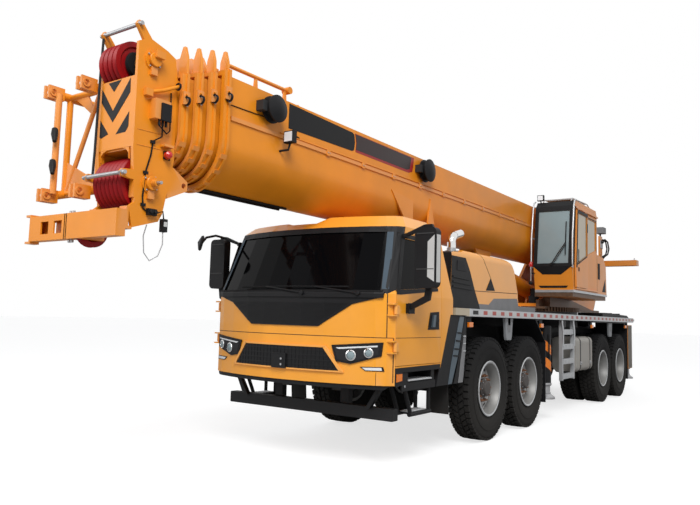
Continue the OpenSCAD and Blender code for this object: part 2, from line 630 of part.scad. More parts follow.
module operator_cab() {
    color([0.95, 0.60, 0.14]) place() {
        difference() {
            op_skin();
            xz(op_y1 - op_wall - 1, op_y1 + 1) op_door_outline(-5);
            yz(slew_x + 850, slew_x + 1300) op_front_window();
            xz(op_y1 - op_wall - 1, op_y1 + 1) op_rear_window();
            xz(op_y0 - 1, op_y0 + op_wall + 1) polygon([[slew_x + 940, 2700], [slew_x + 860, 3570], [slew_x - 400, 3570], [slew_x - 400, 2950]]);
            yz(slew_x - 600, slew_x - 400) polygon([[op_y0 + 80, 3050], [op_y1 - 80, 3050], [op_y1 - 80, 3560], [op_y0 + 80, 3560]]);
            xy(3700, 3900) translate([slew_x - 150, op_y0 + 120]) square([800, op_y1 - op_y0 - 240]);
        }
        // door rails
        for (z = [2170, 3655]) box(slew_x - 500, slew_x + 990, op_y1, op_y1 + 30, z, z + 25);
    }
}
module op_pane_front() {
    intersection() {
        xz(op_y0 + 1, op_y1 - 1) difference() { op_profile(12); op_profile(20); }
        yz(slew_x + 850, slew_x + 1300) op_front_window();
    }
}
module operator_cab_glass() {
    color([0.35, 0.45, 0.52]) place() {
        op_pane_front();
        xz(op_y1 - 20, op_y1 - 12) op_rear_window();
        xz(op_y0 + 12, op_y0 + 20) polygon([[slew_x + 940, 2700], [slew_x + 860, 3570], [slew_x - 400, 3570], [slew_x - 400, 2950]]);
        intersection() {
            xz(op_y0 + 1, op_y1 - 1) difference() { op_profile(12); op_profile(20); }
            yz(slew_x - 600, slew_x - 400) polygon([[op_y0 + 80, 3050], [op_y1 - 80, 3050], [op_y1 - 80, 3560], [op_y0 + 80, 3560]]);
        }
        xy(3800 - 20, 3800 - 12) translate([slew_x - 150, op_y0 + 120]) square([800, op_y1 - op_y0 - 240]);
    }
}
module operator_seat() {
    ym = (op_y0 + op_y1) / 2; zf = 2110 + op_wall; x = slew_x + 200;
    color([0.15, 0.15, 0.16]) place() {
        box(x - 160, x + 160, ym - 140, ym + 140, zf, zf + 330);
        xz(ym - 220, ym + 220) polygon([[x - 260, zf + 330], [x + 260, zf + 330], [x + 260, zf + 430], [x - 160, zf + 440],
            [x - 300, zf + 1100], [x - 380, zf + 1080]]);
        box(slew_x + 720, slew_x + 900, ym - 200, ym + 200, zf, zf + 620);
    }
}
op_door_y = op_y1 + seat;
module operator_door() {
    color([0.95, 0.62, 0.16]) place() difference() {
        union() {
            xz(op_y1 + run_gap, op_y1 + 35) op_door_outline(5);
            for (x = [slew_x + 330, slew_x + 800]) {
                box(x, x + 60, op_y1 + run_gap, op_y1 + 28, 2195 + seat, 2290);
                box(x, x + 60, op_y1 + run_gap, op_y1 + 28, 3580, 3655 - seat);
            }
        }
        xz(op_y1 - 10, op_y1 + 40) op_door_window();
    }
}
module operator_door_glass() { color([0.55, 0.53, 0.47]) place() xz(op_y1 + 16, op_y1 + 24) op_door_window(); }
module winches() {
    yc = boom_hw + 30;
    color([0.30, 0.29, 0.28]) place() for (p = [[slew_x - 2560, 2330], [slew_x - 3060, 2560]]) {
        ycyl(330, p[0], p[1], -yc, yc);
        for (y = [-yc + 40, yc - 70]) ycyl(480, p[0], p[1], y, y + 30);
        ycyl(400, p[0], p[1], -yc + 70, yc - 70);
    }
}
module tail_beam() {
    yc = boom_hw + 30; x0 = slew_x - 3960;
    color([0.93, 0.52, 0.10]) place() {
        both() box(x0, slew_x - 3300, yc, yc + 50, 2480, 2700);
        both() xz(yc, yc + 50) polygon([[x0, 2480], [x0, 3110], [x0 + 260, 3110], [x0 + 420, 2700], [x0 + 420, 2480]]);
        both() box(x0 + 110, x0 + 330, yc, yc + 40, 2600, 3700);
        difference() {
            box(tail_x, x0 + 60, -body_w / 2, body_w / 2, 2980, 3110);
            both() box(tail_x + 30, x0 + 30, yc + 100, body_w / 2 - 60, 2970, 3080);
        }
    }
}

// lift cylinder
module lift_frame() { translate([lift_ax, 0, lift_az]) rotate([0, -lift_ang, 0]) children(); }
lift_barrel_l = lift_len - 330;
module lift_cylinder() {
    color([0.93, 0.52, 0.10]) place() lift_frame() {
        difference() {
            union() {
                xcyl(lift_d, 0, 0, 310, lift_barrel_l);
                ycyl(250, 0, 0, -115, 115);
                box(0, 320, -115, 115, -110, 110);
                xcyl(lift_d + 36, 0, 0, lift_barrel_l - 120, lift_barrel_l);
            }
            xcyl(lift_rod_d + 2 * seat, 0, 0, 360, lift_barrel_l + 1);
        }
        ycyl(120, 0, 0, -200, 200);
    }
}
module lift_rod() {
    color([0.86, 0.87, 0.88]) place() lift_frame() {
        xcyl(lift_rod_d, 0, 0, 380, lift_len - 100);
        ycyl(270, lift_len, 0, -95, 95);
    }
}

// boom
module boom_outline(k, g) {
    hw = boom_hw - k * boom_step - g;
    translate([-hw, boom_mid_z]) square([2 * hw, boom_top_z - k * boom_step - g - boom_mid_z]);
    translate([0, boom_mid_z]) circle(r = hw);
}
// end collar of section k: stepped ring with lugs round its lower half and a pointed fin on top
module collar(k, e) {
    x = collar_x + k * collar_pitch; top = boom_top_z - k * boom_step + e; hw = boom_hw - k * boom_step;
    difference() {
        union() {
            yz(x, x + collar_l) boom_outline(k, -e + 12);
            yz(x + 8, x + collar_l * 0.45) boom_outline(k, -e);
            yz(x + 8, x + collar_l * 0.45) polygon([[-hw * 0.45, top - 30], [hw * 0.45, top - 30], [60, top + 190],
                [-60, top + 190]]);
            for (a = [-70 : 20 : 70]) translate([0, 0, boom_mid_z]) rotate([a, 0, 0])
                box(x + 4, x + collar_l - 4, -22, 22, -hw - e, -hw);
            both() box(x + 4, x + collar_l - 4, hw - 2, hw + e + 8, top - 290, top - 170);
        }
        yz(x - 1, x + collar_l + 1) boom_outline(k, boom_wall);
    }
}
module boom_tube(k, x0) {
    x1 = collar_x + k * collar_pitch + collar_l;
    yz(x0, x1) difference() { boom_outline(k, 0); boom_outline(k, boom_wall); }
    collar(k, k == 0 ? 45 : 30);
}
// side shoes that run inside the next larger section
module slide_shoes(k, x0) {
    hw = boom_hw - k * boom_step; t = boom_step - boom_wall - seat;
    both() box(x0, x0 + 240, hw - 2, hw + t, boom_mid_z + 60, boom_top_z - k * boom_step - 120);
}
module boom_base() {
    x0 = foot_x - 330;
    color([0.93, 0.53, 0.10]) place() {
        difference() {
            union() {
                boom_tube(0, x0);
                yz(x0, x0 + 30) boom_outline(0, 0);
                both() ycyl(foot_pin_d + 120, foot_x, foot_pz, boom_hw - 60, boom_hw + 25);
            }
            yz(x0 - 1, x0 + 31) circle_at(0, 3250, 180);
        }
        ycyl(foot_pin_d, foot_x, foot_pz, -boom_hw - 30 - cheek_t - 30, boom_hw + 30 + cheek_t + 30);
        // lugs of the lift rod
        both() xz(110, 150) polygon([[lift_bx - 230, boom_mid_z - boom_hw * 0.93], [lift_bx + 420, boom_mid_z - boom_hw * 0.93],
            [lift_bx + 130, lift_bz - 150], [lift_bx - 130, lift_bz - 150]]);
        both() ycyl(200, lift_bx, lift_bz, 150, 190);
        // hose rail along the side and top rails behind the collars
        both() box(foot_x + 700, collar_x - 40, boom_hw - 1, boom_hw + 14, 3330, 3370);
        both() box(2900, collar_x + 10, 180, 230, boom_top_z - 1, boom_top_z + 70);
    }
}
module circle_at(y, z, r) { translate([y, z]) circle(r = r); }
module section_form(k) {
    boom_tube(k, sec_rear + 40 * k);
    slide_shoes(k, sec_rear + 40 * k + 20);
}
module boom_section_2() { color([0.93, 0.53, 0.10]) place() section_form(1); }
module boom_section_3() { color([0.93, 0.53, 0.10]) place() section_form(2); }
module boom_section_4() { color([0.93, 0.53, 0.10]) place() section_form(3); }
head_hw = boom_hw - 4 * boom_step + 8;
lug_bore = 50;
jib_bore = 50;
top_pin = [4880, 3665];
low_pin = [4845, 2615];
aux_pin = [4965, 2240];
top_sheave_r = 205;
low_sheave_r = 240;
aux_sheave_r = 150;
head_front = 5030;
head_rear = collar_x + 3 * collar_pitch + collar_l + run_gap + 5;
pin_d = 90;       // sheave pins
module boom_section_5() {
    plate = 32;
    color([0.93, 0.53, 0.10]) place() {
        yz(sec_rear + 160, head_rear + 40) difference() { boom_outline(4, 0); boom_outline(4, boom_wall); }
        slide_shoes(4, sec_rear + 180);
        // side plates
        both() xz(head_hw - plate, head_hw) polygon([[head_front, 3790], [4920, 3850], [4730, 3800], [4640, 3760],
            [head_rear, 3560], [head_rear, 2850], [4700, 2380], [4740, 2310], [5000, 2230], [5040, 2400],
            [head_front - 40, 2440], [head_front, 2890]]);
        // front plate above the window and its flanges beside the lower sheaves
        box(head_front - 25, head_front, -head_hw, head_hw, 2900, 3500);
        both() box(head_front - 45, head_front - 24, head_hw - 55, head_hw - 1, 2480, 2901);
        box(head_rear, head_rear + 40, -head_hw, head_hw, 2880, 3400);
        box(head_rear + 30, head_front - 20, -head_hw, head_hw, 2885, 2910);
        // arms and rods that keep the ropes on the sheaves
        both() xz(head_hw - plate, head_hw) polygon([[4850, 3790], [4960, 3790], [5060, 3930], [5040, 3965], [5005, 3960]]);
        ycyl(36, 5030, 3935, -head_hw - 30, head_hw + 30);
        both() xz(head_hw - plate, head_hw) polygon([[4980, 2620], [5120, 2635], [5140, 2665], [5120, 2695], [4980, 2710]]);
        ycyl(34, 5115, 2665, -head_hw - 30, head_hw + 30);
        // foot brackets at the lower front
        both() box(5000, 5060, head_hw - 90, head_hw, 2215, 2240);
        both() box(5035, 5060, head_hw - 90, head_hw, 2215, 2400);
        // rope anchor
        difference() {
            xz(head_hw - 60, head_hw) polygon([[4660, 2520], [4660, 2800], [head_rear, 2800], [4440, 2700], [4440, 2620]]);
            ycyl(lug_bore, 4480, 2660, head_hw - 61, head_hw + 1);
        }
        // sheave pins with their keepers
        for (p = [top_pin, low_pin]) {
            ycyl(pin_d, p[0], p[1], -head_hw - 25, head_hw + 25);
            both() ycyl(170, p[0], p[1], head_hw - 1, head_hw + 12);
            both() box(p[0] - 30, p[0] + 30, head_hw - 1, head_hw + 30, p[1] - 130, p[1] - 60);
        }
        // connection box and lamp bracket on the left plate
        box(4730, 4890, head_hw - 1, head_hw + 80, 3160, 3330);
        box(4660, 4760, head_hw - 1, head_hw + 60, 2950, 2970);
    }
}
module sheave_form(r) {
    rotate_extrude() polygon([[45.5, -22], [70, -22], [70, -10], [r - 60, -10], [r - 45, -24], [r, -24], [r - 26, 0], [r, 24],
        [r - 45, 24], [r - 60, 10], [70, 10], [70, 22], [45.5, 22]]);
}
module boom_sheaves() {
    color([0.75, 0.09, 0.06]) place() {
        for (k = [-3 : 0]) translate([top_pin[0], k * 62, top_pin[1]]) rotate([90, 0, 0]) sheave_form(top_sheave_r);
        for (k = [-3 : 3]) translate([low_pin[0], k * 54, low_pin[1]]) rotate([90, 0, 0]) sheave_form(low_sheave_r);
        translate([aux_pin[0], aux_y, aux_pin[1]]) rotate([90, 0, 0]) sheave_form(aux_sheave_r);
    }
}
aux_y = -340;
module auxiliary_nose() {
    z0 = 2150; z1 = 2370; y_end = -1000; slot = 34;
    color([0.93, 0.53, 0.10]) place() {
        difference() {
            union() {
                box(5060, nose_x, y_end, head_hw, z0, z1);
                box(4890, nose_x, aux_y - 90, aux_y + 80, z0, z1);
                // flanges at the arm's outer end and along its foot
                box(5060, nose_x, y_end - 60, y_end + 20, z0 - 20, z0);
                box(5060, nose_x, y_end - 60, y_end + 20, z1, z1 + 20);
                box(5060, nose_x, y_end, y_end + 20, z0 - 20, z1 + 20);
            }
            // windows of the arm and its hollow
            for (y = [-760, -560]) box(5000, nose_x + 10, y - 60, y + 60, 2205, 2315);
            box(5075, nose_x - 15, y_end + 20, aux_y - 110, z0 + 15, z1 - 15);
            box(5075, nose_x - 15, aux_y + 100, head_hw - 20, z0 + 15, z1 - 15);
            box(4800, nose_x - 25, aux_y - slot, aux_y + slot, z0 - 30, z1 + 30);
        }
        ycyl(pin_d, aux_pin[0], aux_pin[1], aux_y - 89, aux_y + 79);
    }
}
module lattice_jib() {
    ya = -560; yb = -1070; z0 = 3060; z1 = 3580; xr = -2000; xm = 3350; xf = 4940; n = 6; zr = 2600;
    p = (xm - xr - 160) / n; chord = 80; lace = 46;
    $fn = 16;
    color([0.93, 0.53, 0.10]) place() {
        for (y = [ya, yb]) {
            rod([xr, y, z0], [xm, y, z0], chord);
            rod([xr, y, z1], [xf, y, z1], chord);
            rod([xm, y, z0], [xf, y, zr], chord);
            box(xm - 60, xm + 60, y - 50, y + 50, z0 - 50, z0 + 50);
            for (k = [0 : n]) {
                x = xr + 60 + p * k;
                rod([x, y, z0], [x, y, z1], lace);
                if (k < n) rod([x + 110, y, k % 2 == 0 ? z0 : z1], [x + p - 110, y, k % 2 == 0 ? z1 : z0], lace);
            }
            rod([xf - 150, y, zr + 40], [xf - 150, y, z1], 60);
            for (z = [zr, z1]) difference() {
                box(xf - 60, xf + 100, y - 45, y + 45, z - 60, z + 60);
                box(xf + 10, xf + 101, y - 20, y + 20, z - 61, z + 61);
                ycyl(jib_bore, xf + 55, z, y - 46, y + 46, $fn = 48);
            }
        }
        for (k = [0 : n]) for (z = [z0, z1]) {
            x = xr + 60 + p * k;
            rod([x, ya, z], [x, yb, z], lace);
        }
        for (z = [zr + 43, z1]) rod([xf - 150, ya, z], [xf - 150, yb, z], 60);
        for (x = [-1000, 2050]) box(x - 60, x + 60, ya - 20, -boom_hw, z0 - 30, z0 + 100);
    }
}

module wheel_1_left() { color([0.10, 0.10, 0.11]) wheel_at(0, 1); }
module wheel_1_right() { color([0.10, 0.10, 0.11]) wheel_at(0, -1); }
module wheel_2_left() { color([0.10, 0.10, 0.11]) wheel_at(1, 1); }
module wheel_2_right() { color([0.10, 0.10, 0.11]) wheel_at(1, -1); }
module wheel_3_left() { color([0.10, 0.10, 0.11]) wheel_at(2, 1); }
module wheel_3_right() { color([0.10, 0.10, 0.11]) wheel_at(2, -1); }
module wheel_4_left() { color([0.10, 0.10, 0.11]) wheel_at(3, 1); }
module wheel_4_right() { color([0.10, 0.10, 0.11]) wheel_at(3, -1); }
module knuckle_1_left() { knuckle_at(0, 1); }
module knuckle_1_right() { knuckle_at(0, -1); }
module knuckle_2_left() { knuckle_at(1, 1); }
module knuckle_2_right() { knuckle_at(1, -1); }
module outrigger_beam_fl() { beam_at(box_f, 1); }
module outrigger_beam_fr() { beam_at(box_f, -1); }
module outrigger_beam_rl() { beam_at(box_r, 1); }
module outrigger_beam_rr() { beam_at(box_r, -1); }
module outrigger_jack_fl() { jack_at(box_f, 1); }
module outrigger_jack_fr() { jack_at(box_f, -1); }
module outrigger_jack_rl() { jack_at(box_r, 1); }
module outrigger_jack_rr() { jack_at(box_r, -1); }

chassis_frame();
deck();
cab_shell();
cab_glass();
cab_trim();
lamps();
cab_interior();
front_guard();
access_steps();
mudguards();
engine_hood();
engine_block();
exhaust_pipe();
side_tanks();
axles();
boom_rest();
door_left();
door_left_glass();
door_right();
door_right_glass();
mirror_left();
mirror_right();
knuckle_1_left();
knuckle_1_right();
knuckle_2_left();
knuckle_2_right();
wheel_1_left();
wheel_1_right();
wheel_2_left();
wheel_2_right();
wheel_3_left();
wheel_3_right();
wheel_4_left();
wheel_4_right();
outrigger_beam_fl();
outrigger_beam_fr();
outrigger_beam_rl();
outrigger_beam_rr();
outrigger_jack_fl();
outrigger_jack_fr();
outrigger_jack_rl();
outrigger_jack_rr();
turntable();
operator_cab();
operator_cab_glass();
operator_seat();
operator_door();
operator_door_glass();
winches();
tail_beam();
lift_cylinder();
lift_rod();
boom_base();
boom_section_2();
boom_section_3();
boom_section_4();
boom_section_5();
boom_sheaves();
auxiliary_nose();
lattice_jib();
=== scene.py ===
import json
import math
import bpy
import bmesh
from mathutils import Vector, Matrix


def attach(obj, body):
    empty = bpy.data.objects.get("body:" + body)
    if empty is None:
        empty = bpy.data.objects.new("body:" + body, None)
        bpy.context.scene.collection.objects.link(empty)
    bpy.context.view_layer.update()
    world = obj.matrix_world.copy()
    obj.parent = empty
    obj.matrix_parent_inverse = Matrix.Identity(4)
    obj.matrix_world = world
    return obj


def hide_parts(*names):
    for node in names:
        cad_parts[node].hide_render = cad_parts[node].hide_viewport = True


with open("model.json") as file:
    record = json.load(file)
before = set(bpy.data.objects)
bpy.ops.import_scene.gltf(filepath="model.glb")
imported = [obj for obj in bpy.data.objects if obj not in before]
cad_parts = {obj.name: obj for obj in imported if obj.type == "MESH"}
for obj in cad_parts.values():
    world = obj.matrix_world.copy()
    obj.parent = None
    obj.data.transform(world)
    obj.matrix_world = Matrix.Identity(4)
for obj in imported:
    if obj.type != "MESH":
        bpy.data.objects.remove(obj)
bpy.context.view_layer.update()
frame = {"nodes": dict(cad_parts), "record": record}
nodes = frame["nodes"]
scene = bpy.context.scene
DX = 1.95  # places along the length are noted from the first axle, DX ahead of the frame's origin
TAU = 2 * math.pi
SIDES = ((1, "left"), (-1, "right"))
X, Y, Z = (1, 0, 0), (0, 1, 0), (0, 0, 1)


# Camera at the photograph's viewpoint
def make_camera():
    yaw, pitch, roll = math.radians(214.78), math.radians(5.48), math.radians(1.54)
    focal_px, picture_px, sensor = 672.511, 700.0, 36.0
    view = Vector((math.cos(pitch) * math.cos(yaw), math.cos(pitch) * math.sin(yaw), math.sin(pitch)))
    level = Vector((math.sin(yaw), -math.cos(yaw), 0))
    up = level.cross(view)
    right = math.cos(roll) * level + math.sin(roll) * up
    top = -math.sin(roll) * level + math.cos(roll) * up
    data = bpy.data.cameras.new("camera")
    data.sensor_width = sensor
    data.lens = sensor * focal_px / picture_px
    data.clip_end = 300
    cam = bpy.data.objects.new("camera", data)
    scene.collection.objects.link(cam)
    place = Matrix((right, top, -view)).transposed().to_4x4()
    place.translation = Vector((8.43 + DX, 4.79, 1.554))
    cam.matrix_world = place
    scene.camera = cam


make_camera()


# Materials
def shader(tree, kind, values=(), links=()):
    """New shader node with (input, value) settings and (output, input) links."""
    n = tree.nodes.new("ShaderNode" + kind)
    for key, value in values:
        n.inputs[key].default_value = value
    for out, key in links:
        tree.links.new(out, n.inputs[key])
    return n


def blend(tree, share, base, color):
    """Base colour turned into another by the share node's result."""
    mix = shader(tree, "MixRGB", [("Color2", (*color, 1))],
                 [(share.outputs["Result"], "Fac"), (base, "Color1")])
    return mix.outputs["Color"]


def mat(name, color, rough=0.5, metal=0.0, coat=0.0, noise=0.0, nscale=6.0, bump=0.0, bscale=40.0,
        spec=0.5, dust=0.0, wear=0.0):
    m = bpy.data.materials.new(name)
    m.use_nodes = True
    tree = m.node_tree
    b = tree.nodes["Principled BSDF"]
    for key, value in (("Base Color", (*color, 1)), ("Roughness", rough), ("Metallic", metal),
                       ("Coat Weight", coat), ("Coat Roughness", 0.06), ("Specular IOR Level", spec)):
        b.inputs[key].default_value = value
    where = shader(tree, "TexCoord").outputs["Object"]
    if noise:
        n = shader(tree, "TexNoise", [("Scale", nscale), ("Detail", 6)], [(where, "Vector")])
        ramp = shader(tree, "ValToRGB", links=[(n.outputs["Fac"], "Fac")])
        for end, at, gain in zip(ramp.color_ramp.elements, (0.3, 0.7), (1 - noise, 1 + noise * 0.6)):
            end.position = at
            end.color = (*[min(1, c * gain) for c in color], 1)
        tint = ramp.outputs["Color"]
        if dust:
            # pale dust that settles low on the machine
            pos = shader(tree, "SeparateXYZ", links=[(where, "Vector")])
            low = shader(tree, "MapRange", [("From Min", 1.3), ("From Max", 0.3), ("To Max", dust)],
                         [(pos.outputs["Z"], "Value")])
            tint = blend(tree, low, tint, (0.3, 0.27, 0.23))
        if wear:
            # worn edges show a lighter, duller tone
            geo = shader(tree, "NewGeometry")
            edge = shader(tree, "MapRange", [("From Min", 0.54), ("From Max", 0.62), ("To Max", wear)],
                          [(geo.outputs["Pointiness"], "Value")])
            tint = blend(tree, edge, tint, [min(1, 0.5 * c + 0.28) for c in color])
        tree.links.new(tint, b.inputs["Base Color"])
        ends = [("To Min", max(0.02, rough - noise * 0.5)), ("To Max", min(1, rough + noise * 0.5))]
        dull = shader(tree, "MapRange", ends, [(n.outputs["Fac"], "Value")])
        tree.links.new(dull.outputs["Result"], b.inputs["Roughness"])
    if bump:
        fine = shader(tree, "TexNoise", [("Scale", bscale), ("Detail", 4)], [(where, "Vector")])
        bumps = shader(tree, "Bump", [("Strength", bump), ("Distance", 0.004)],
                       [(fine.outputs["Fac"], "Height")])
        tree.links.new(bumps.outputs["Normal"], b.inputs["Normal"])
    return m


YEL = mat("cab_paint", (0.84, 0.335, 0.018), 0.34, coat=0.2, noise=0.05, nscale=3, bump=0.03, bscale=120,
          wear=0.2, spec=0.35)
ORA = mat("crane_paint", (0.74, 0.245, 0.01), 0.4, coat=0.12, noise=0.07, nscale=3, bump=0.04, bscale=120,
          wear=0.2, spec=0.3)
BLK = mat("frame_paint", (0.01, 0.01, 0.011), 0.55, noise=0.2, bump=0.05, dust=0.06, wear=0.15, spec=0.2)
GREY = mat("deck_paint", (0.2, 0.2, 0.205), 0.6, noise=0.12, bump=0.25, bscale=90, spec=0.3)
GLS = mat("dark_glass", (0.002, 0.002, 0.0025), 0.06, spec=0.05, noise=0.02)
TIN = mat("tinted_glass", (0.24, 0.31, 0.33), 0.06, spec=0.3, noise=0.1, nscale=1.2)
TAN = mat("bronze_glass", (0.42, 0.35, 0.24), 0.08, spec=0.3, noise=0.08, nscale=1.5)
PLA = mat("black_plastic", (0.008, 0.008, 0.009), 0.55, noise=0.15, bump=0.1, spec=0.2)
LMP = mat("lamp_glass", (0.7, 0.72, 0.74), 0.1, coat=0.3, noise=0.04)
AMB = mat("amber_lens", (0.8, 0.2, 0.01), 0.2, coat=0.3, noise=0.05)
REDL = mat("red_lens", (0.5, 0.01, 0.008), 0.2, coat=0.3, noise=0.05)
INT = mat("interior", (0.018, 0.018, 0.02), 0.7, noise=0.1, spec=0.2)
SIL = mat("aluminium", (0.52, 0.53, 0.54), 0.42, metal=0.6, noise=0.08)
TRD = mat("tread_plate", (0.55, 0.56, 0.57), 0.5, metal=0.2, noise=0.15, nscale=60)
RIM = mat("rim_silver", (0.42, 0.42, 0.42), 0.42, metal=0.35, noise=0.1, dust=0.15)
# darker grey for the rim's barrel: painted shade inside the dish
RIM_SHADE = mat("rim_barrel_shade", (0.24, 0.24, 0.235), 0.5, metal=0.3, noise=0.1, dust=0.15)
RUS = mat("bolt_brown", (0.2, 0.09, 0.045), 0.6, metal=0.3, noise=0.3, nscale=30)
CHR = mat("chrome", (0.75, 0.75, 0.75), 0.14, metal=1.0, noise=0.03)
RUB = mat("tyre_rubber", (0.01, 0.01, 0.0105), 0.85, noise=0.25, nscale=10, bump=0.15, dust=0.06, spec=0.15)
RED = mat("sheave_red", (0.27, 0.004, 0.006), 0.45, noise=0.1, spec=0.25)
STL = mat("steel", (0.42, 0.42, 0.43), 0.38, metal=0.8, noise=0.1)
# dark brown: grease on the teeth and pins, and painted shade on the turntable's sides under the cab
BRO = mat("grease_and_shade", (0.12, 0.065, 0.035), 0.5, metal=0.4, noise=0.3, nscale=20)
TNK = mat("tank_grey", (0.36, 0.34, 0.31), 0.5, noise=0.06, dust=0.1, spec=0.3)
WIN = mat("winch", (0.07, 0.062, 0.058), 0.6, noise=0.2, spec=0.3)
WHT = mat("reflector_white", (0.5, 0.5, 0.49), 0.35, noise=0.04, spec=0.3)
REF = mat("reflector_red", (0.38, 0.06, 0.045), 0.35, noise=0.05, spec=0.3)
PAN = mat("panel_dark", (0.02, 0.008, 0.008), 0.4, coat=0.1, noise=0.1, spec=0.25)
PRE = mat("panel_red", (0.3, 0.01, 0.01), 0.4, coat=0.1, noise=0.1, spec=0.3)
DBAR = mat("bar_dark", (0.013, 0.013, 0.014), 0.5, noise=0.15, bump=0.05, spec=0.2)
PIL = mat("pillar_sheen", (0.055, 0.08, 0.105), 0.5, noise=0.08, spec=0.1)
SHN = mat("fender_sheen", (0.07, 0.098, 0.122), 0.38, coat=0.15, noise=0.12, spec=0.3)
GBR = mat("grey_brown", (0.13, 0.115, 0.095), 0.5, noise=0.15, dust=0.15, spec=0.3)
LTG = mat("light_grey", (0.24, 0.25, 0.26), 0.5, noise=0.08, spec=0.3)
SEAM = mat("seam", (0.05, 0.022, 0.004), 0.7)

SLOT = {"cab_yellow": YEL, "crane_orange": ORA, "frame_black": BLK, "deck_grey": GREY, "glass_dark": GLS,
        "glass_tint": TIN, "trim_black": PLA, "lamp_clear": LMP, "interior_dark": INT, "bar_grey": DBAR,
        "step_aluminium": SIL, "guard_black": PLA, "engine_grey": WIN, "pipe_chrome": CHR, "tank_grey": TNK,
        "tyre_black": RUB, "jack_steel": STL, "sheave_red": RED, "mirror_black": PLA, "winch_dark": WIN}


# CAD nodes: finish, soft shading of curved faces and a small bevel for the light
NODE_BEVEL = {"cab_shell": 0.012, "engine_hood": 0.012, "operator_cab": 0.012, "door_left": 0.006,
              "door_right": 0.006, "operator_door": 0.006, "turntable": 0.006, "deck": 0.006,
              "side_tanks": 0.006, "boom_section_5": 0.004, "auxiliary_nose": 0.004,
              "tail_beam": 0.006, "front_guard": 0.005}


def soften(me, angle):
    me.polygons.foreach_set("use_smooth", [True] * len(me.polygons))
    me.set_sharp_from_angle(angle=math.radians(angle))


def add_bevel(o, width, angle):
    b = o.modifiers.new("bevel", "BEVEL")
    b.width = width
    b.segments = 2
    b.limit_method = "ANGLE"
    b.angle_limit = math.radians(angle)
    b.harden_normals = True


for row in frame["record"]["subparts"]:
    part = nodes[row["node"]]
    part.data.materials.clear()
    part.data.materials.append(SLOT[row["material_slot"]])
    soften(part.data, 28)
    if row["node"] in NODE_BEVEL:
        add_bevel(part, NODE_BEVEL[row["node"]], 32)


def paint(node, m, test):
    """Gives the faces of a CAD node whose centre and normal pass the test another finish."""
    o = nodes[node]
    me = o.data
    me.materials.append(m)
    k = len(me.materials) - 1
    for f in me.polygons:
        c = o.matrix_world @ f.center
        if test(c.x - DX, c.y, c.z, f.normal):
            f.material_index = k


# Small helpers for outlines and ranges
def span(s, a, b):
    """Range from a to b across, on side s."""
    return tuple(sorted((s * a, s * b)))


def about(v, half):
    return v - half, v + half


def flip(s, pts):
    return [(s * a, b) for a, b in pts]


def rect(a0, a1, b0, b1):
    return [(a0, b0), (a1, b0), (a1, b1), (a0, b1)]


def band(half0, z0, half1, z1):
    """Outline across the middle, half0 to each side at z0 and half1 at z1."""
    return [(-half0, z0), (half0, z0), (half1, z1), (-half1, z1)]


def strip(a, b, w):
    """Outline of a line from a to b, w wide."""
    d = (Vector(b) - Vector(a)).normalized()
    n = Vector((-d.y, d.x)) * w / 2
    return [tuple(Vector(a) + n), tuple(Vector(b) + n), tuple(Vector(b) - n), tuple(Vector(a) - n)]


def around(c, r, count, start=0.0):
    """Points on a circle of radius r about c, in the plane of x and z."""
    for k in range(count):
        a = TAU * k / count + start
        yield c[0] + r * math.cos(a), c[1], c[2] + r * math.sin(a)


def circle(c, r, side, up, n):
    return [c + r * (math.cos(t) * side + math.sin(t) * up) for t in [TAU * j / n for j in range(n)]]


def slab_faces(n):
    """Faces of a plate between two outlines of n points."""
    ends = [tuple(range(n)), tuple(range(2 * n - 1, n - 1, -1))]
    return ends + [(i, n + i, n + (i + 1) % n, (i + 1) % n) for i in range(n)]


def loft_faces(k, n, closed):
    """Faces between k rings of n points, with end caps unless the last ring joins the first."""
    f = []
    for i in range(k if closed else k - 1):
        j = (i + 1) % k
        f += [(i * n + t, i * n + (t + 1) % n, j * n + (t + 1) % n, j * n + t) for t in range(n)]
    if not closed:
        f += [tuple(range(n - 1, -1, -1)), tuple((k - 1) * n + t for t in range(n))]
    return f


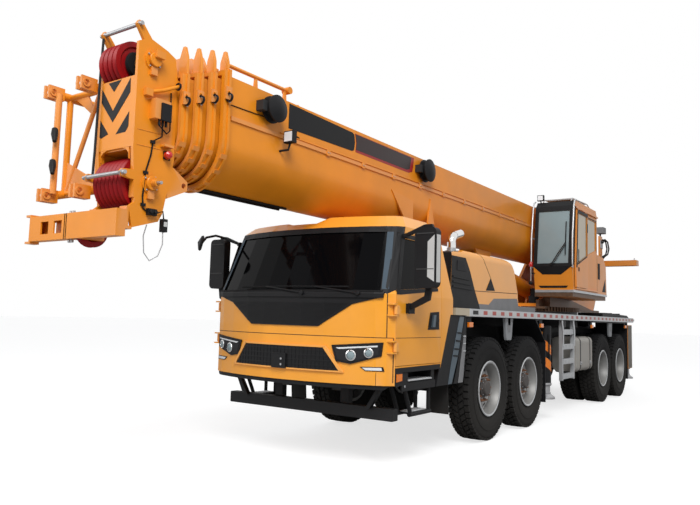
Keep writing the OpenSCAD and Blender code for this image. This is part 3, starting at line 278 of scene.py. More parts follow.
# A piece built from simple forms, in metres from the first axle
class Piece:
    def __init__(self, name, body):
        self.name = name
        self.body = body
        self.verts = []
        self.faces = []
        self.marks = []
        self.mats = []

    def add(self, verts, faces, m):
        if m not in self.mats:
            self.mats.append(m)
        k = len(self.verts)
        self.verts += [tuple(v) for v in verts]
        self.faces += [tuple(k + i for i in f) for f in faces]
        self.marks += [self.mats.index(m)] * len(faces)

    def box(self, x, y, z, m):
        v = [(a, b, c) for a in x for b in y for c in z]
        f = [(0, 1, 3, 2), (4, 6, 7, 5), (0, 4, 5, 1), (2, 3, 7, 6), (0, 2, 6, 4), (1, 5, 7, 3)]
        self.add(v, f, m)

    def prism(self, pts, axis, lo, hi, m):
        """Outline pts extruded along axis: x takes (y, z) points and y takes (x, z)."""
        v = [(t, a, b) if axis == "x" else (a, t, b) for t in (lo, hi) for a, b in pts]
        self.add(v, slab_faces(len(pts)), m)

    def tube(self, path, r, m, n=8):
        """Round rod along path; r is one radius, or one for each point."""
        path = [Vector(p) for p in path]
        last = len(path) - 1
        v = []
        side = None
        for i, p in enumerate(path):
            d = (path[min(i + 1, last)] - path[max(i - 1, 0)]).normalized()
            if side is None:
                side = d.orthogonal().normalized()
            side = (side - d * side.dot(d)).normalized()
            v += circle(p, r[i] if isinstance(r, list) else r, side, d.cross(side), n)
        self.add(v, loft_faces(len(path), n, False), m)

    def turn(self, profile, centre, axis, m, n=32, closed=False):
        """Profile of (radius, height) points turned about the line through centre along axis."""
        axis = Vector(axis).normalized()
        side = axis.orthogonal().normalized()
        v = []
        for r, h in profile:
            v += circle(Vector(centre) + axis * h, r, side, axis.cross(side), n)
        self.add(v, loft_faces(len(profile), n, closed), m)

    def disc(self, centre, axis, r, h, m, n=24):
        c = min(r, h) * 0.15
        self.turn([(r - c, 0), (r, c), (r, h - c), (r - c, h)], centre, axis, m, n)

    def done(self, bevel=0.0, replaces=()):
        me = bpy.data.meshes.new(self.name)
        me.from_pydata([(v[0] + DX, v[1], v[2]) for v in self.verts], [], self.faces)
        for m in self.mats:
            me.materials.append(m)
        me.polygons.foreach_set("material_index", self.marks)
        bm = bmesh.new()
        bm.from_mesh(me)
        bmesh.ops.recalc_face_normals(bm, faces=bm.faces)
        bm.to_mesh(me)
        bm.free()
        soften(me, 30)
        o = bpy.data.objects.new(self.name, me)
        scene.collection.objects.link(o)
        if bevel:
            add_bevel(o, bevel, 35)
        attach(o, self.body)
        if replaces:
            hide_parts(*replaces)


def flat(p, pts, y, t, m):
    """Outline of (x, z) points as a plate from y to y + t."""
    p.prism(pts, "y", y, y + t, m)


# Wheels: block tread on the carcass, dished rims, hubs and nuts
AXLE_X = [0.0, -1.45, -5.72, -7.12]
TYRE_R, TYRE_W, RIM_R, WHEEL_Y = 0.67, 0.33, 0.36, 1.075
TWIN_PITCH = 0.39
TREAD_ROWS = 48
FRONT_HUB = [(0.06, -0.015), (0.125, -0.015), (0.125, 0.078), (0.112, 0.09), (0.1, 0.092), (0.096, 0.118),
             (0.084, 0.128), (0.001, 0.13)]
TWIN_HUB = [(0.06, -0.51), (0.22, -0.51), (0.22, -0.295), (0.2, -0.29), (0.2, -0.095), (0.125, -0.09),
            (0.125, -0.04), (0.118, -0.03), (0.105, -0.028), (0.1, 0.01), (0.088, 0.015), (0.001, 0.015)]


def tread_block(p, c, s, mid, reach, y, r, skew):
    """One rubber block over angles mid +- reach, from y[0] to y[1] across, r[0] to r[1] deep."""
    v = []
    yc = 0.5 * (y[0] + y[1])
    for rad, cut in ((r[0], 0.0), (r[1], 0.16)):
        for t, yy in ((-1, y[0]), (1, y[0]), (1, y[1]), (-1, y[1])):
            a = mid + reach * (t * (1 - cut) + skew * (yy - yc) / (y[1] - y[0]))
            yk = yc + (yy - yc) * (1 - 0.5 * cut)
            v.append((c[0] + rad * math.cos(a), c[1] + s * yk, c[2] + rad * math.sin(a)))
    p.add(v, [(3, 2, 1, 0), (4, 5, 6, 7), (0, 1, 5, 4), (1, 2, 6, 5), (2, 3, 7, 6), (3, 0, 4, 7)], RUB)


def tyre(p, c, s):
    hw, b = TYRE_W / 2, RIM_R - 0.03
    half = [(b, hw - 0.042), (b + 0.02, hw - 0.03), (b + 0.045, hw - 0.03), (b + 0.085, hw - 0.012),
            (b + 0.13, hw - 0.002), (b + 0.175, hw), (b + 0.195, hw - 0.001), (b + 0.197, hw + 0.003),
            (b + 0.207, hw + 0.003), (b + 0.209, hw - 0.004), (TYRE_R - 0.075, hw - 0.01),
            (TYRE_R - 0.05, hw - 0.016), (TYRE_R - 0.03, hw - 0.03), (TYRE_R - 0.024, hw - 0.062)]
    ring = [(r, s * y) for r, y in half] + [(r, -s * y) for r, y in reversed(half)]
    ring += [(b, -s * (hw - 0.08)), (b, s * (hw - 0.08))]
    p.turn(ring, c, Y, RUB, n=88, closed=True)
    step = TAU / TREAD_ROWS
    for k in range(TREAD_ROWS):
        for e in (-1, 1):
            a = k * step + (0.5 * step if e > 0 else 0)
            tread_block(p, c, s, a, 0.41 * step, span(e, hw - 0.018, hw - 0.082),
                        (TYRE_R - 0.034, TYRE_R - 0.003), 0.0)
            tread_block(p, c, s, a + 0.5 * step, 0.4 * step, span(e, hw - 0.092, 0.012),
                        (TYRE_R - 0.026, TYRE_R), 1.1 * e)


def rim(p, c, s, at, f):
    """Barrel with lips; the disc sits at `at` from the tyre's middle and dishes towards f."""
    hw, b = TYRE_W / 2, RIM_R - 0.0305
    barrel = [(b - 0.014, -hw + 0.012), (b + 0.022, -hw + 0.006), (b + 0.03, -hw + 0.012),
              (b + 0.026, -hw + 0.024), (b, -hw + 0.032), (b, hw - 0.032), (b + 0.026, hw - 0.024),
              (b + 0.03, hw - 0.012), (b + 0.022, hw - 0.006), (b - 0.002, hw - 0.012),
              (b - 0.012, hw - 0.04), (b - 0.03, hw - 0.075), (b - 0.03, -hw + 0.075), (b - 0.014, -hw + 0.04)]
    lip = [(b - 0.003, hw - 0.0125), (b + 0.022, hw - 0.0055), (b + 0.0305, hw - 0.012),
           (b + 0.026, hw - 0.02)]
    disc = [(r, at + f * h) for r, h in (
        (0.09, 0.01), (0.205, 0.01), (0.225, 0.004), (0.255, -0.03), (0.285, -0.034), (b - 0.029, -0.02),
        (b - 0.029, -0.034), (0.28, -0.05), (0.25, -0.046), (0.215, -0.01), (0.09, -0.01))]
    # The barrel's darker grey is painted shade inside the dish; the lip's brighter silver is a painted
    # highlight on the outer ring.
    for profile, m, n in ((barrel, RIM_SHADE, 72), (lip, SIL, 72), (disc, RIM, 60)):
        p.turn([(r, s * y) for r, y in profile], c, Y, m, n=n, closed=True)
    for hole in around((c[0], c[1] + s * (at - f * 0.031), c[2]), 0.272, 10, TAU / 20):
        p.turn([(0.027, 0), (0.029, 0.005), (0.021, 0.006), (0.02, 0.001)], hole, (0, s * f, 0), BLK, n=20)


def road_wheel(i, s, word):
    p = Piece(f"road_wheel_{i + 1}_{word}", f"roll_{i + 1}_{word}")
    c = (AXLE_X[i], s * WHEEL_Y, TYRE_R)
    if i < 2:
        tyres, nut_y, hub, bolts = [(c, 0.035, 1)], 0.045, FRONT_HUB, (0.088, 0.108, 8)
    else:
        inner = (AXLE_X[i], s * (WHEEL_Y - TWIN_PITCH), TYRE_R)
        tyres, nut_y, hub, bolts = [(c, -0.095, -1), (inner, 0.095, 1)], -0.085, TWIN_HUB, (-0.03, 0.112, 10)
    for centre, at, facing in tyres:
        tyre(p, centre, s)
        rim(p, centre, s, at, facing)
    out = (0, s, 0)
    for at in around((c[0], c[1] + s * nut_y, c[2]), 0.165, 10):
        p.turn([(0.026, 0), (0.026, 0.006), (0.019, 0.008), (0.019, 0.03), (0.015, 0.034)], at, out, RUS, n=6)
        p.disc((at[0], at[1] + s * 0.03, at[2]), out, 0.01, 0.026, RUS, n=10)
    p.turn([(r, s * y) for r, y in hub], c, Y, WIN, n=48)
    bolt_y, bolt_r, count = bolts
    for at in around((c[0], c[1] + s * bolt_y, c[2]), bolt_r, count):
        p.disc(at, out, 0.009, 0.01, STL, n=6)
    p.done(replaces=[f"wheel_{i + 1}_{word}"])


for axle in range(4):
    for sgn, word in SIDES:
        road_wheel(axle, sgn, word)


# Sheets that follow the cab's bowed front and its sides
BOW = [(0, 0), (0.22, 0.006), (0.43, 0.03), (0.67, 0.084), (0.86, 0.144), (0.95, 0.188), (1, 0.248)]
BELT, EAVE, CAB_HW, NOSE = 1.8, 2.54, 1.25, 2.79
MIRROR_Y = 1.63  # outer face of a mirror
LINE_Z = 1.352   # shut line round the cab
SKIN = 0.0003    # lift of a thin sheet off the face below it
PROUD = 0.0004   # lift of a plate off the face below it
SEAM_T = 0.0012  # thickness of a drawn seam
FENDER_Y = 1.2305
DECK_Z = 1.7


def front_x(y, z):
    t = max(0.0, (z - BELT) / (EAVE - BELT))
    nose, hw = NOSE - 0.31 * t, CAB_HW - 0.075 * t
    f = min(abs(y) / hw, 1.0)
    for (a, sa), (b, sb) in zip(BOW, BOW[1:]):
        if f <= b:
            return nose - hw * (sa + (sb - sa) * (f - a) / (b - a))
    return nose - hw * BOW[-1][1]


def side_y(z):
    return CAB_HW - 0.075 * max(0.0, (z - BELT) / (EAVE - BELT))


def clip(pts, k, lim, keep_low):
    """The part of outline pts on one side of coordinate k = lim."""
    out = []
    for a, b in zip(pts, pts[1:] + pts[:1]):
        ina, inb = ((p[k] <= lim) == keep_low or p[k] == lim for p in (a, b))
        if ina:
            out.append(a)
        if ina != inb:
            t = (lim - a[k]) / (b[k] - a[k])
            out.append((a[0] + t * (b[0] - a[0]), a[1] + t * (b[1] - a[1])))
    return out


def slices(pts, k, cuts):
    """Outline pts cut at each of the cuts along coordinate k."""
    cuts = [-99.0] + sorted(cuts) + [99.0]
    for lo, hi in zip(cuts, cuts[1:]):
        part = clip(clip(pts, k, lo, False), k, hi, True)
        if len(part) > 2 and max(p[k] for p in part) - min(p[k] for p in part) > 1e-5:
            yield part


def sheet(p, pts, place, off, t, m):
    """Plate t thick on outline pts, off from the face that place describes."""
    p.add([place(a, b, o) for o in (off, off + t) for a, b in pts], slab_faces(len(pts)), m)


def front_sheet(p, pts, off, t, m):
    """Outline of (y, z) points laid on the cab's front."""
    cuts = [s * CAB_HW * f for s in (-1, 1) for f, _ in BOW[1:-1]] + [0.0]
    for column in slices(pts, 0, cuts):
        for part in slices(column, 1, [BELT]):
            sheet(p, part, lambda y, z, o: (front_x(y, z) + o, y, z), off, t, m)


def side_sheet(p, pts, s, off, t, m):
    """Outline of (x, z) points laid on the cab's side."""
    for part in slices(pts, 1, [BELT]):
        sheet(p, part, lambda x, z, o: (x, s * (side_y(z) + o), z), off, t, m)


# Carrier
def cab_front():
    p = Piece("cab_front_trim", "carrier")
    # shut lines
    for a, b in (((-1.235, LINE_Z), (1.235, LINE_Z)), ((1.19, BELT), (1.19, LINE_Z)),
                 ((-1.19, BELT), (-1.19, LINE_Z)),
                 ((1.238, LINE_Z), (1.238, 0.9)), ((-1.238, LINE_Z), (-1.238, 0.9))):
        front_sheet(p, strip(a, b, 0.007), SKIN, SEAM_T, SEAM)
    # fine mesh of the upper panel
    z = 1.468
    while z < 1.7:
        half = 0.45 + 0.39 * (z - 1.462) / 0.238 - 0.012
        front_sheet(p, band(half, z, half + 0.004, z + 0.005), 0.0125, 0.004, PLA)
        z += 0.0125
    # cowl below the screen
    front_sheet(p, band(1.17, 1.822, 1.16, 1.757), 0.0125, 0.016, PLA)
    front_sheet(p, band(1.15, 1.835, 1.15, 1.818), 0.014, 0.02, RUB)
    # lower grille: frame, bars, tow cover
    front_sheet(p, band(0.575, 1.25, 0.56, 1.232), 0.0, 0.022, YEL)
    front_sheet(p, band(0.775, 0.985, 0.745, 1.0), 0.0, 0.022, YEL)
    for s in (-1, 1):
        front_sheet(p, flip(s, ((0.575, 1.25), (0.545, 1.232), (0.727, 1.0), (0.775, 0.985))), 0.0, 0.022,
                    YEL)
    for k in range(4):
        z = 1.035 + 0.052 * k
        half = 0.705 - 0.182 * (z - 1.0) / 0.23
        front_sheet(p, band(half, z, half, z + 0.012), 0.0145, 0.006, PLA)
    for k in range(-13, 14):
        y = 0.05 * k
        top = 1.225 if abs(y) < 0.53 else 1.225 - 0.22 * (abs(y) - 0.53) / 0.182
        front_sheet(p, rect(y - 0.005, y + 0.005, 1.004, top), 0.0145, 0.004, PLA)
    front_sheet(p, rect(-0.108, 0.088, 0.99, 1.148), 0.015, 0.022, PLA)
    for z in (1.03, 1.09):
        p.disc((front_x(0, z) + 0.036, 0.03, z), X, 0.012, 0.006, STL, n=16)
    for s in (-1, 1):
        # headlamps
        for pts, off, t, m in (
                (((0.638, 1.262), (1.165, 1.306), (1.15, 1.165), (0.845, 1.076), (0.69, 1.098)), 0.0005,
                 0.016, PLA),
                (((0.672, 1.243), (1.135, 1.28), (1.122, 1.18), (0.85, 1.098), (0.712, 1.118)), 0.0165, 0.003,
                 INT), (((0.69, 1.238), (1.12, 1.273), (1.118, 1.258), (0.725, 1.224)), 0.019, 0.004, LMP)):
            front_sheet(p, flip(s, pts), off, t, m)
        for y, z, r, splay in ((0.855, 1.165, 0.056, 0.26), (1.035, 1.195, 0.05, 0.34)):
            at = (front_x(s * y, z) + 0.016, s * y, z)
            out = Vector((1, s * splay, 0)).normalized()
            p.turn([(r, 0), (r, 0.014), (r - 0.01, 0.018), (r - 0.014, 0.006), (0.001, 0.006)], at, out, CHR)
            p.turn([(r - 0.016, 0.006), (r - 0.018, 0.014), (r - 0.03, 0.02), (0.001, 0.022)], at, out, TIN,
                   n=28)
        # strip lamps, sheen of the windscreen's edge
        for pts, off, t, m in (
                (((0.94, 1.052), (1.165, 1.058), (1.178, 1.014), (0.995, 1.012)), 0.0005, 0.006, PLA),
                (((0.965, 1.045), (1.15, 1.05), (1.158, 1.022), (1.0, 1.02)), 0.0065, 0.004, LMP),
                (((1.035, 2.475), (1.098, 2.475), (1.192, 1.85), (1.125, 1.85)), 0.0008, 0.002, PIL),
                (((1.098, 2.475), (1.179, 2.475), (1.244, 1.84), (1.192, 1.84)), 0.0008, 0.002, PLA)):
            front_sheet(p, flip(s, pts), off, t, m)
    # black band under the roof edge, skirt below the cab's front edge
    front_sheet(p, band(1.175, 2.475, 1.17, 2.536), 0.0008, 0.002, PLA)
    front_sheet(p, band(1.22, 0.868, 1.16, 0.825), -0.03, 0.012, PLA)
    p.done()
    w = Piece("wipers", "carrier")
    for y0, y1 in ((0.92, 0.4), (0.28, -0.26)):
        a = Vector((front_x(y0, BELT) + 0.04, y0, BELT))
        b = Vector((front_x(y1, 1.87) + 0.036, y1, 1.87))
        w.disc((a.x - 0.03, a.y, a.z), X, 0.022, 0.045, PLA, n=18)
        w.tube([a, a.lerp(b, 0.35) + Vector((0.012, 0, 0.002)), b], [0.012, 0.01, 0.006], PLA, n=10)
        blade = [y1 + e for e in (0.4, 0.2, 0, -0.2, -0.42)]
        w.tube([(front_x(y, 1.865) + 0.026, y, 1.868) for y in blade], 0.009, RUB)
    w.done()


def doors():
    paint("cab_shell", PLA, lambda x, y, z, n: x > 2.02 and 1.815 < z < 2.53 and abs(n.z) < 0.7)
    for s, word in SIDES:
        paint(f"door_{word}", PLA, lambda x, y, z, n: (x > 2.16 and z > 1.83) or (
            abs(y) > CAB_HW + 0.003 and 1.48 < x < 1.82 and 1.4 < z < 1.66))
        p = Piece(f"door_trim_{word}", f"cab_door_{word}")
        # black window surround, handle recess with its grip (painted highlight), shut line
        for pts, off, t, m in (
                ([(2.468, 1.8), (2.468, 1.84), (2.28, 2.458), (1.468, 2.458), (1.468, 2.41), (2.225, 2.41),
                  (2.392, 1.852), (2.392, 1.8)], 0.0006, 0.003, PLA),
                ([(2.392, 1.8), (2.392, 1.85), (1.54, 1.908), (1.54, 1.872)], 0.0006, 0.003, PLA),
                ([(1.735, 1.628), (1.525, 1.64), (1.518, 1.44), (1.79, 1.436)], PROUD, 0.004, PLA),
                ([(1.7, 1.605), (1.56, 1.613), (1.556, 1.47), (1.745, 1.465)], 0.0044, 0.003, INT),
                ([(1.69, 1.6), (1.64, 1.603), (1.662, 1.468), (1.72, 1.466)], 0.0074, 0.022, SHN),
                (strip((2.468, LINE_Z), (1.47, LINE_Z), 0.005), SKIN, SEAM_T, SEAM)):
            side_sheet(p, pts, s, off, t, m)
        # mirror: two glasses on the rear face, shell lines, foot on the door
        across = span(s, MIRROR_Y - 0.225, MIRROR_Y - 0.025)
        for z in ((1.9, 2.05), (2.075, 2.47)):
            p.box((2.233, 2.2397), across, z, CHR)
        for z in (2.06, 2.43):
            p.box((2.3453, 2.35), across, (z, z + 0.01), BLK)
        p.box((2.17, 2.29), span(s, CAB_HW + 0.03, CAB_HW + 0.048), (1.605, 1.715), PLA)
        if s > 0:
            # bright side glass: pale plates, a painted reflection
            y0, y1 = MIRROR_Y - 0.098, MIRROR_Y - 0.02
            p.prism([(y0, 1.985), (y1, 1.935), (y1, 2.415), (y0, 2.345)], "x", 2.3453, 2.349, WHT)
            p.prism(rect(2.255, 2.335, 1.93, 2.42), "y", MIRROR_Y + SKIN, MIRROR_Y + 0.003, WHT)
        else:
            # round front mirror on its arm
            at = (2.64, 0.145 - MIRROR_Y, 2.42)
            p.turn([(0.001, -0.018), (0.085, -0.014), (0.1, 0.0), (0.088, 0.022), (0.001, 0.05)], at,
                   (0.75, -0.6, 0.2), PLA, n=28)
            p.tube([(2.245, 0.135 - MIRROR_Y, 2.53), (2.38, 0.12 - MIRROR_Y, 2.545),
                    (2.56, 0.14 - MIRROR_Y, 2.5), at], 0.015, PLA)
        p.done()


def steps_and_fenders():
    paint("access_steps", PLA, lambda x, y, z, n: x > 0 and not (n.z > 0.9 and (z < 0.56 or 0.88 < z < 0.91)))
    p = Piece("step_trim", "carrier")
    for s in (-1, 1):
        # black sill and cheek below the door, with the side lamp
        side_sheet(p, [(2.478, 1.046), (2.478, 0.9965), (1.482, 0.9965), (1.478, 1.052)], s, PROUD, 0.0035,
                   PLA)
        side_sheet(p, [(2.478, 0.9965), (2.478, 0.863), (2.331, 0.863), (2.331, 0.9965)], s, PROUD, 0.0035,
                   PLA)
        side_sheet(p, [(2.452, 0.985), (2.456, 0.905), (2.345, 0.915), (2.345, 0.985)], s, 0.0042, 0.008, AMB)
        p.box((2.202, 2.326), span(s, FENDER_Y, 1.246), (0.802, 0.99), PLA)
        p.box((1.587, 2.202), span(s, FENDER_Y, 1.246), (0.802, 0.884), PLA)
        p.disc((2.265, s * 1.246, 0.85), (0, s, 0), 0.013, 0.0035, STL, n=12)
        # treads: bright plates with raised grip bars
        for x1, y0, y1, z in ((2.19, 1.06, 1.246, 0.9003), (2.02, 1.05, 1.195, 0.5543)):
            p.box((1.668, x1), span(s, y0, y1), (z, z + 0.01), TRD)
            for k in range(int((x1 - 1.69) / 0.058)):
                p.box((1.68 + 0.058 * k, 1.7 + 0.058 * k), span(s, y0 + 0.006, y1 - 0.006),
                      (z + 0.01, z + 0.015), TRD)
        # splash flap ahead of the front wheel
        p.prism([(1.15, 0.803), (1.165, 0.803), (1.135, 0.445), (1.12, 0.445)], "y", *span(s, 0.94, 1.19),
                RUB)
        # fender: plate down to the tyre, sheen band, grey rear band and ribs
        p.prism([(0.85, 1.598), (0.742, 1.598), (0.752, 1.309), (0.77, 1.174), (0.792, 1.069), (0.81, 0.936),
                 (0.842, 0.8), (1.12, 0.8), (1.02, 1.04), (0.9, 1.4)], "y", *span(s, 1.205, 1.23), PLA)
        p.prism([(0.939, 1.595), (0.813, 1.595), (0.996, 1.085), (1.143, 0.805), (1.235, 0.805),
                 (1.142, 1.09)], "y", *span(s, FENDER_Y, 1.234), SHN)
        p.prism([(0.816, 1.372), (0.757, 1.372), (0.772, 1.174), (0.794, 1.069), (0.812, 0.936),
                 (0.842, 0.805), (0.965, 0.805), (0.899, 1.073)], "y", *span(s, FENDER_Y, 1.234), GREY)
        for z in (1.41, 1.315, 1.22, 1.14):
            x = 1.01 + (1.4 - z) * 0.4
            p.prism([(x, z), (x - 0.19, z - 0.012), (x - 0.185, z - 0.03), (x, z - 0.018)], "y",
                    *span(s, FENDER_Y, 1.24), PLA)
        # bright ends of the ribs on the grey band: painted highlights
        for z in (1.35, 1.262, 1.172):
            p.box((0.775, 0.842), span(s, FENDER_Y, 1.24), (z, z + 0.014), SIL)
        # brackets between the wheels
        for x in (-0.725, -6.42):
            p.prism([(x - 0.15, 1.598), (x + 0.15, 1.598), (x + 0.105, 1.335), (x + 0.08, 1.29),
                     (x - 0.08, 1.29), (x - 0.105, 1.335)], "y", *span(s, 1.17, 1.205), LTG)
            p.prism([(x - 0.06, 1.5), (x + 0.06, 1.5), (x + 0.05, 1.4), (x - 0.05, 1.4)], "y",
                    *span(s, 1.205, 1.209), GREY)
        # marker lamps below the deck
        for x in (0.61, -2.05, -4.95, -7.7):
            p.box(about(x, 0.055), span(s, 1.205, 1.236), (1.47, 1.53), AMB)
            p.box(about(x, 0.062), span(s, 1.19, 1.206), (1.462, 1.6), PLA)
    p.done(bevel=0.002)


def deck_edge():
    p = Piece("deck_edge", "carrier")
    pitch = 0.291  # of the red and white marking
    for s in (-1, 1):
        edge, marking = span(s, 1.2503, 1.2525), span(s, 1.2525, 1.2538)
        p.box((0.7, 0.79), edge, (1.603, 1.698), TAN)
        p.box((0.79, 1.095), span(s, 1.215, 1.2525), (1.612, 1.698), TAN)
        p.box((-8.34, 0.7), edge, (1.603, 1.698), SIL)
        x = 0.275
        while x > -8.25:
            p.box((x - 0.125, x), marking, (1.628, 1.678), REF)
            p.box((x - 0.29, x - 0.126), marking, (1.628, 1.678), WHT)
            x -= pitch
        p.box((0.44, 0.6), marking, (1.628, 1.678), BLK)
        # black cover plates on the rear deck
        p.prism([(-5.95, DECK_Z), (-5.95, 1.775), (-6.2, 1.785), (-8.1, 1.755), (-8.3, DECK_Z)], "y",
                *span(s, 0.66, 1.17), PLA)
        for x in (-6.75, -7.45):
            p.box(about(x, 0.012), span(s, 0.67, 1.16), (1.755, 1.79), BLK)
        # tread plate on the deck behind the hood
        p.box((-3.85, -1.2), span(s, 0.4, 1.2), (DECK_Z, 1.706), GREY)
    # service boxes behind the hood, below the slewing parts
    p.box((-2.3, -1.35), (-1.12, -0.45), (DECK_Z, 1.79), BLK)
    p.box((-2.1, -1.35), (0.52, 1.1), (DECK_Z, 1.78), GREY)
    p.done(bevel=0.003)


def hood():
    paint("engine_hood", PLA, lambda x, y, z, n: x > 0.775 and abs(n.y) < 0.95)
    p = Piece("hood_trim", "carrier")
    hood_hw = 1.19
    for s in (-1, 1):
        def lay(pts, off, t, m):
            p.prism(pts, "y", *span(s, hood_hw + off, hood_hw + off + t), m)
        # black front part, grey foot, seams and the slotted corner
        lay([(1.118, 1.702), (1.092, 2.33), (0.705, 2.33), (0.57, 2.17), (0.42, 1.93), (0.3, 1.77),
             (0.26, 1.702)], SKIN, 0.004, PLA)
        lay([(0.262, 1.702), (0.3, 1.768), (-0.03, 1.768), (-0.2, 1.855), (-1.06, 1.885), (-1.105, 1.8),
             (-1.115, 1.702)], SKIN, 0.003, GREY)
        for a, b in (((0.12, 2.33), (-0.09, 2.13)), ((-0.09, 2.13), (-0.24, 1.955)),
                     ((0.42, 1.93), (-1.06, 1.958))):
            lay(strip(a, b, 0.008), SKIN, SEAM_T, SEAM)
        lay([(-0.09, 2.125), (-0.235, 1.962), (0.065, 1.952)], SKIN, 0.003, PLA)
        for k in range(5):
            z, x0, x1 = 1.975 + 0.027 * k, -0.026 * k, 0.024 * k
            lay([(0.045 + x0, z), (-0.215 + x1, z), (-0.205 + x1, z + 0.01), (0.036 + x0, z + 0.01)], 0.0033,
                0.003, INT)
        for z in (2.09, 2.03, 1.97):
            x = 0.6 - (2.09 - z) * 0.6
            lay([(1.07, z), (x, z - 0.02), (x, z - 0.038), (1.07, z - 0.022)], 0.0043, 0.01, PLA)
        lay([(0.95, 2.28), (0.78, 2.28), (0.7, 2.16), (0.95, 2.16)], 0.0043, 0.006, INT)
        # seam over the shoulder and along the top
        arc = [(0.12 + 0.09 * math.sin(a), s * (1.08 + 0.1108 * math.cos(a)), 2.33 + 0.1108 * math.sin(a))
               for a in [math.radians(15 * k) for k in range(7)]]
        p.tube(arc + [(0.21, 0.0, 2.4408)], 0.003, SEAM, n=6)
        p.box((-0.3, -0.1), span(s, 0.52, 0.62), (2.4402, 2.462), PLA)
    p.box((0.97, 1.075), (-0.9, 0.9), (2.385, 2.392), BLK)
    for k in range(10):
        p.box(about(0.85, 0.006), (-0.9 + 0.18 * k, -0.9 + 0.18 * k + 0.12), (2.3955, 2.402), BLK)
    # rubber pad on the boom's rest, exhaust collar
    p.box((-0.33, -0.19), (-0.14, 0.14), (2.6745, 2.711), RUB)
    p.disc((0.88, 1.08, 2.3955), Z, 0.085, 0.012, STL, n=28)
    p.turn([(0.0545, 0), (0.058, 0.004), (0.058, 0.03), (0.0545, 0.034)], (0.88, 1.08, 2.41), Z, STL, n=28)
    p.done()


def tanks():
    straps = (AXLE_X[2] + TYRE_R + 0.25, -4.18)
    paint("side_tanks", DBAR,
          lambda x, y, z, n: any(abs(x - k) < 0.034 for k in straps) and abs(y) > 0.77 and abs(n.x) < 0.5)
    p = Piece("tank_trim", "carrier")
    for s in (-1, 1):
        p.disc((-4.25, s * 1.02, 1.298), Z, 0.055, 0.035, PLA)
        for x in straps:
            p.box(about(x, 0.035), span(s, 1.216, 1.232), (0.8, 0.86), STL)
            p.disc((x, s * 1.232, 0.83), (0, s, 0), 0.012, 0.02, STL, n=10)
        for z in (0.8, 1.18):
            p.tube([(-4.84, s * 1.2105, z), (-4.02, s * 1.2105, z)], 0.004, TNK, n=6)
        # handrails at the top of the ladder, grip bars on its rungs
        for x in (-3.1, -3.74):
            p.tube([(x, s * 1.235, 1.15), (x + 0.03, s * 1.245, 1.42), (x + 0.06, s * 1.232, 1.595)], 0.016,
                   SIL, n=10)
        for z in (0.6, 0.85, 1.1, 1.35):
            for k in range(7):
                p.box((-3.7 + 0.085 * k, -3.66 + 0.085 * k), span(s, 1.2252, 1.232), (z + 0.012, z + 0.078),
                      SIL)
    p.done(bevel=0.002)


def outriggers():
    jack_y, sleeve_r = 1.13, 0.1012
    for key, xf in (("f", -2.335), ("r", -7.925)):
        for side, s in (("l", 1), ("r", -1)):
            xc = xf - 0.015 - (0 if s > 0 else 0.25) - 0.115
            paint(f"outrigger_beam_{key}{side}", PLA,
                  lambda x, y, z, n: abs(y) > 1.02 and math.hypot(x - xc, abs(y) - jack_y) < 0.125)
            q = Piece(f"outrigger_stripes_{key}{side}", f"beam_{key}{side}")
            if key == "f":
                # slanted bands round the jack's sleeve
                for z0 in (0.66, 0.92):
                    v = []
                    for k in range(13):
                        a = math.radians(-90 + 15 * k)
                        x, y = xc + sleeve_r * math.sin(a), s * (jack_y + sleeve_r * math.cos(a))
                        v += [(x, y, z0 + 0.11 * k / 6 + dz) for dz in (0.0, 0.15)]
                    q.add(v, [(2 * k, 2 * k + 1, 2 * k + 3, 2 * k + 2) for k in range(12)], AMB)
                q.disc((xc, s * jack_y, 0.545), Z, 0.108, 0.04, STL, n=28)
                q.tube([(xc + 0.07, s * 1.215, 1.36), (xc + 0.1, s * 1.235, 1.2),
                        (xc + 0.07, s * 1.225, 0.98)], 0.012, RUB)
            else:
                q.box(about(xc, 0.185), span(s, 1.2385, 1.2415), (0.57, 1.53), GBR)
                for z in (0.62, 1.02, 1.46):
                    q.box(about(xc, 0.17), span(s, 1.2415, 1.2455), (z, z + 0.03), GBR)
            q.done()
            j = Piece(f"jack_trim_{key}{side}", f"jack_{key}{side}")
            j.turn([(0.09, 0), (0.096, 0.004), (0.096, 0.016), (0.09, 0.02)], (xc, s * jack_y, 0.412), Z, STL,
                   n=28)
            for k in range(6):
                a = math.pi * k / 3
                j.disc((xc + 0.135 * math.cos(a), s * jack_y + 0.135 * math.sin(a), 0.3605), Z, 0.012, 0.01,
                       STL, n=6)
            j.done()


cab_front()
doors()
steps_and_fenders()
deck_edge()
hood()
tanks()
outriggers()


# Upper works: operator's cab, slewing ring, winches, tail
OP_PROFILE = [(2.11, -3.82), (2.58, -3.73), (3.7, -3.86), (3.8, -3.95)]
OP_Y0, OP_Y1 = 0.5, 1.205
OP_DOOR_Y = 1.2403
SLEW_X = -4.9


def op_x(z):
    for (a, xa), (b, xb) in zip(OP_PROFILE, OP_PROFILE[1:]):
        if z <= b:
            return xa + (xb - xa) * (z - a) / (b - a)
    return OP_PROFILE[-1][1]


def op_front(p, pts, off, t, m):
    """Outline of (y, z) points laid on the front of the operator's cab."""
    for part in slices(pts, 1, [2.58, 3.7]):
        sheet(p, part, lambda y, z, o: (op_x(z) + o, y, z), off, t, m)


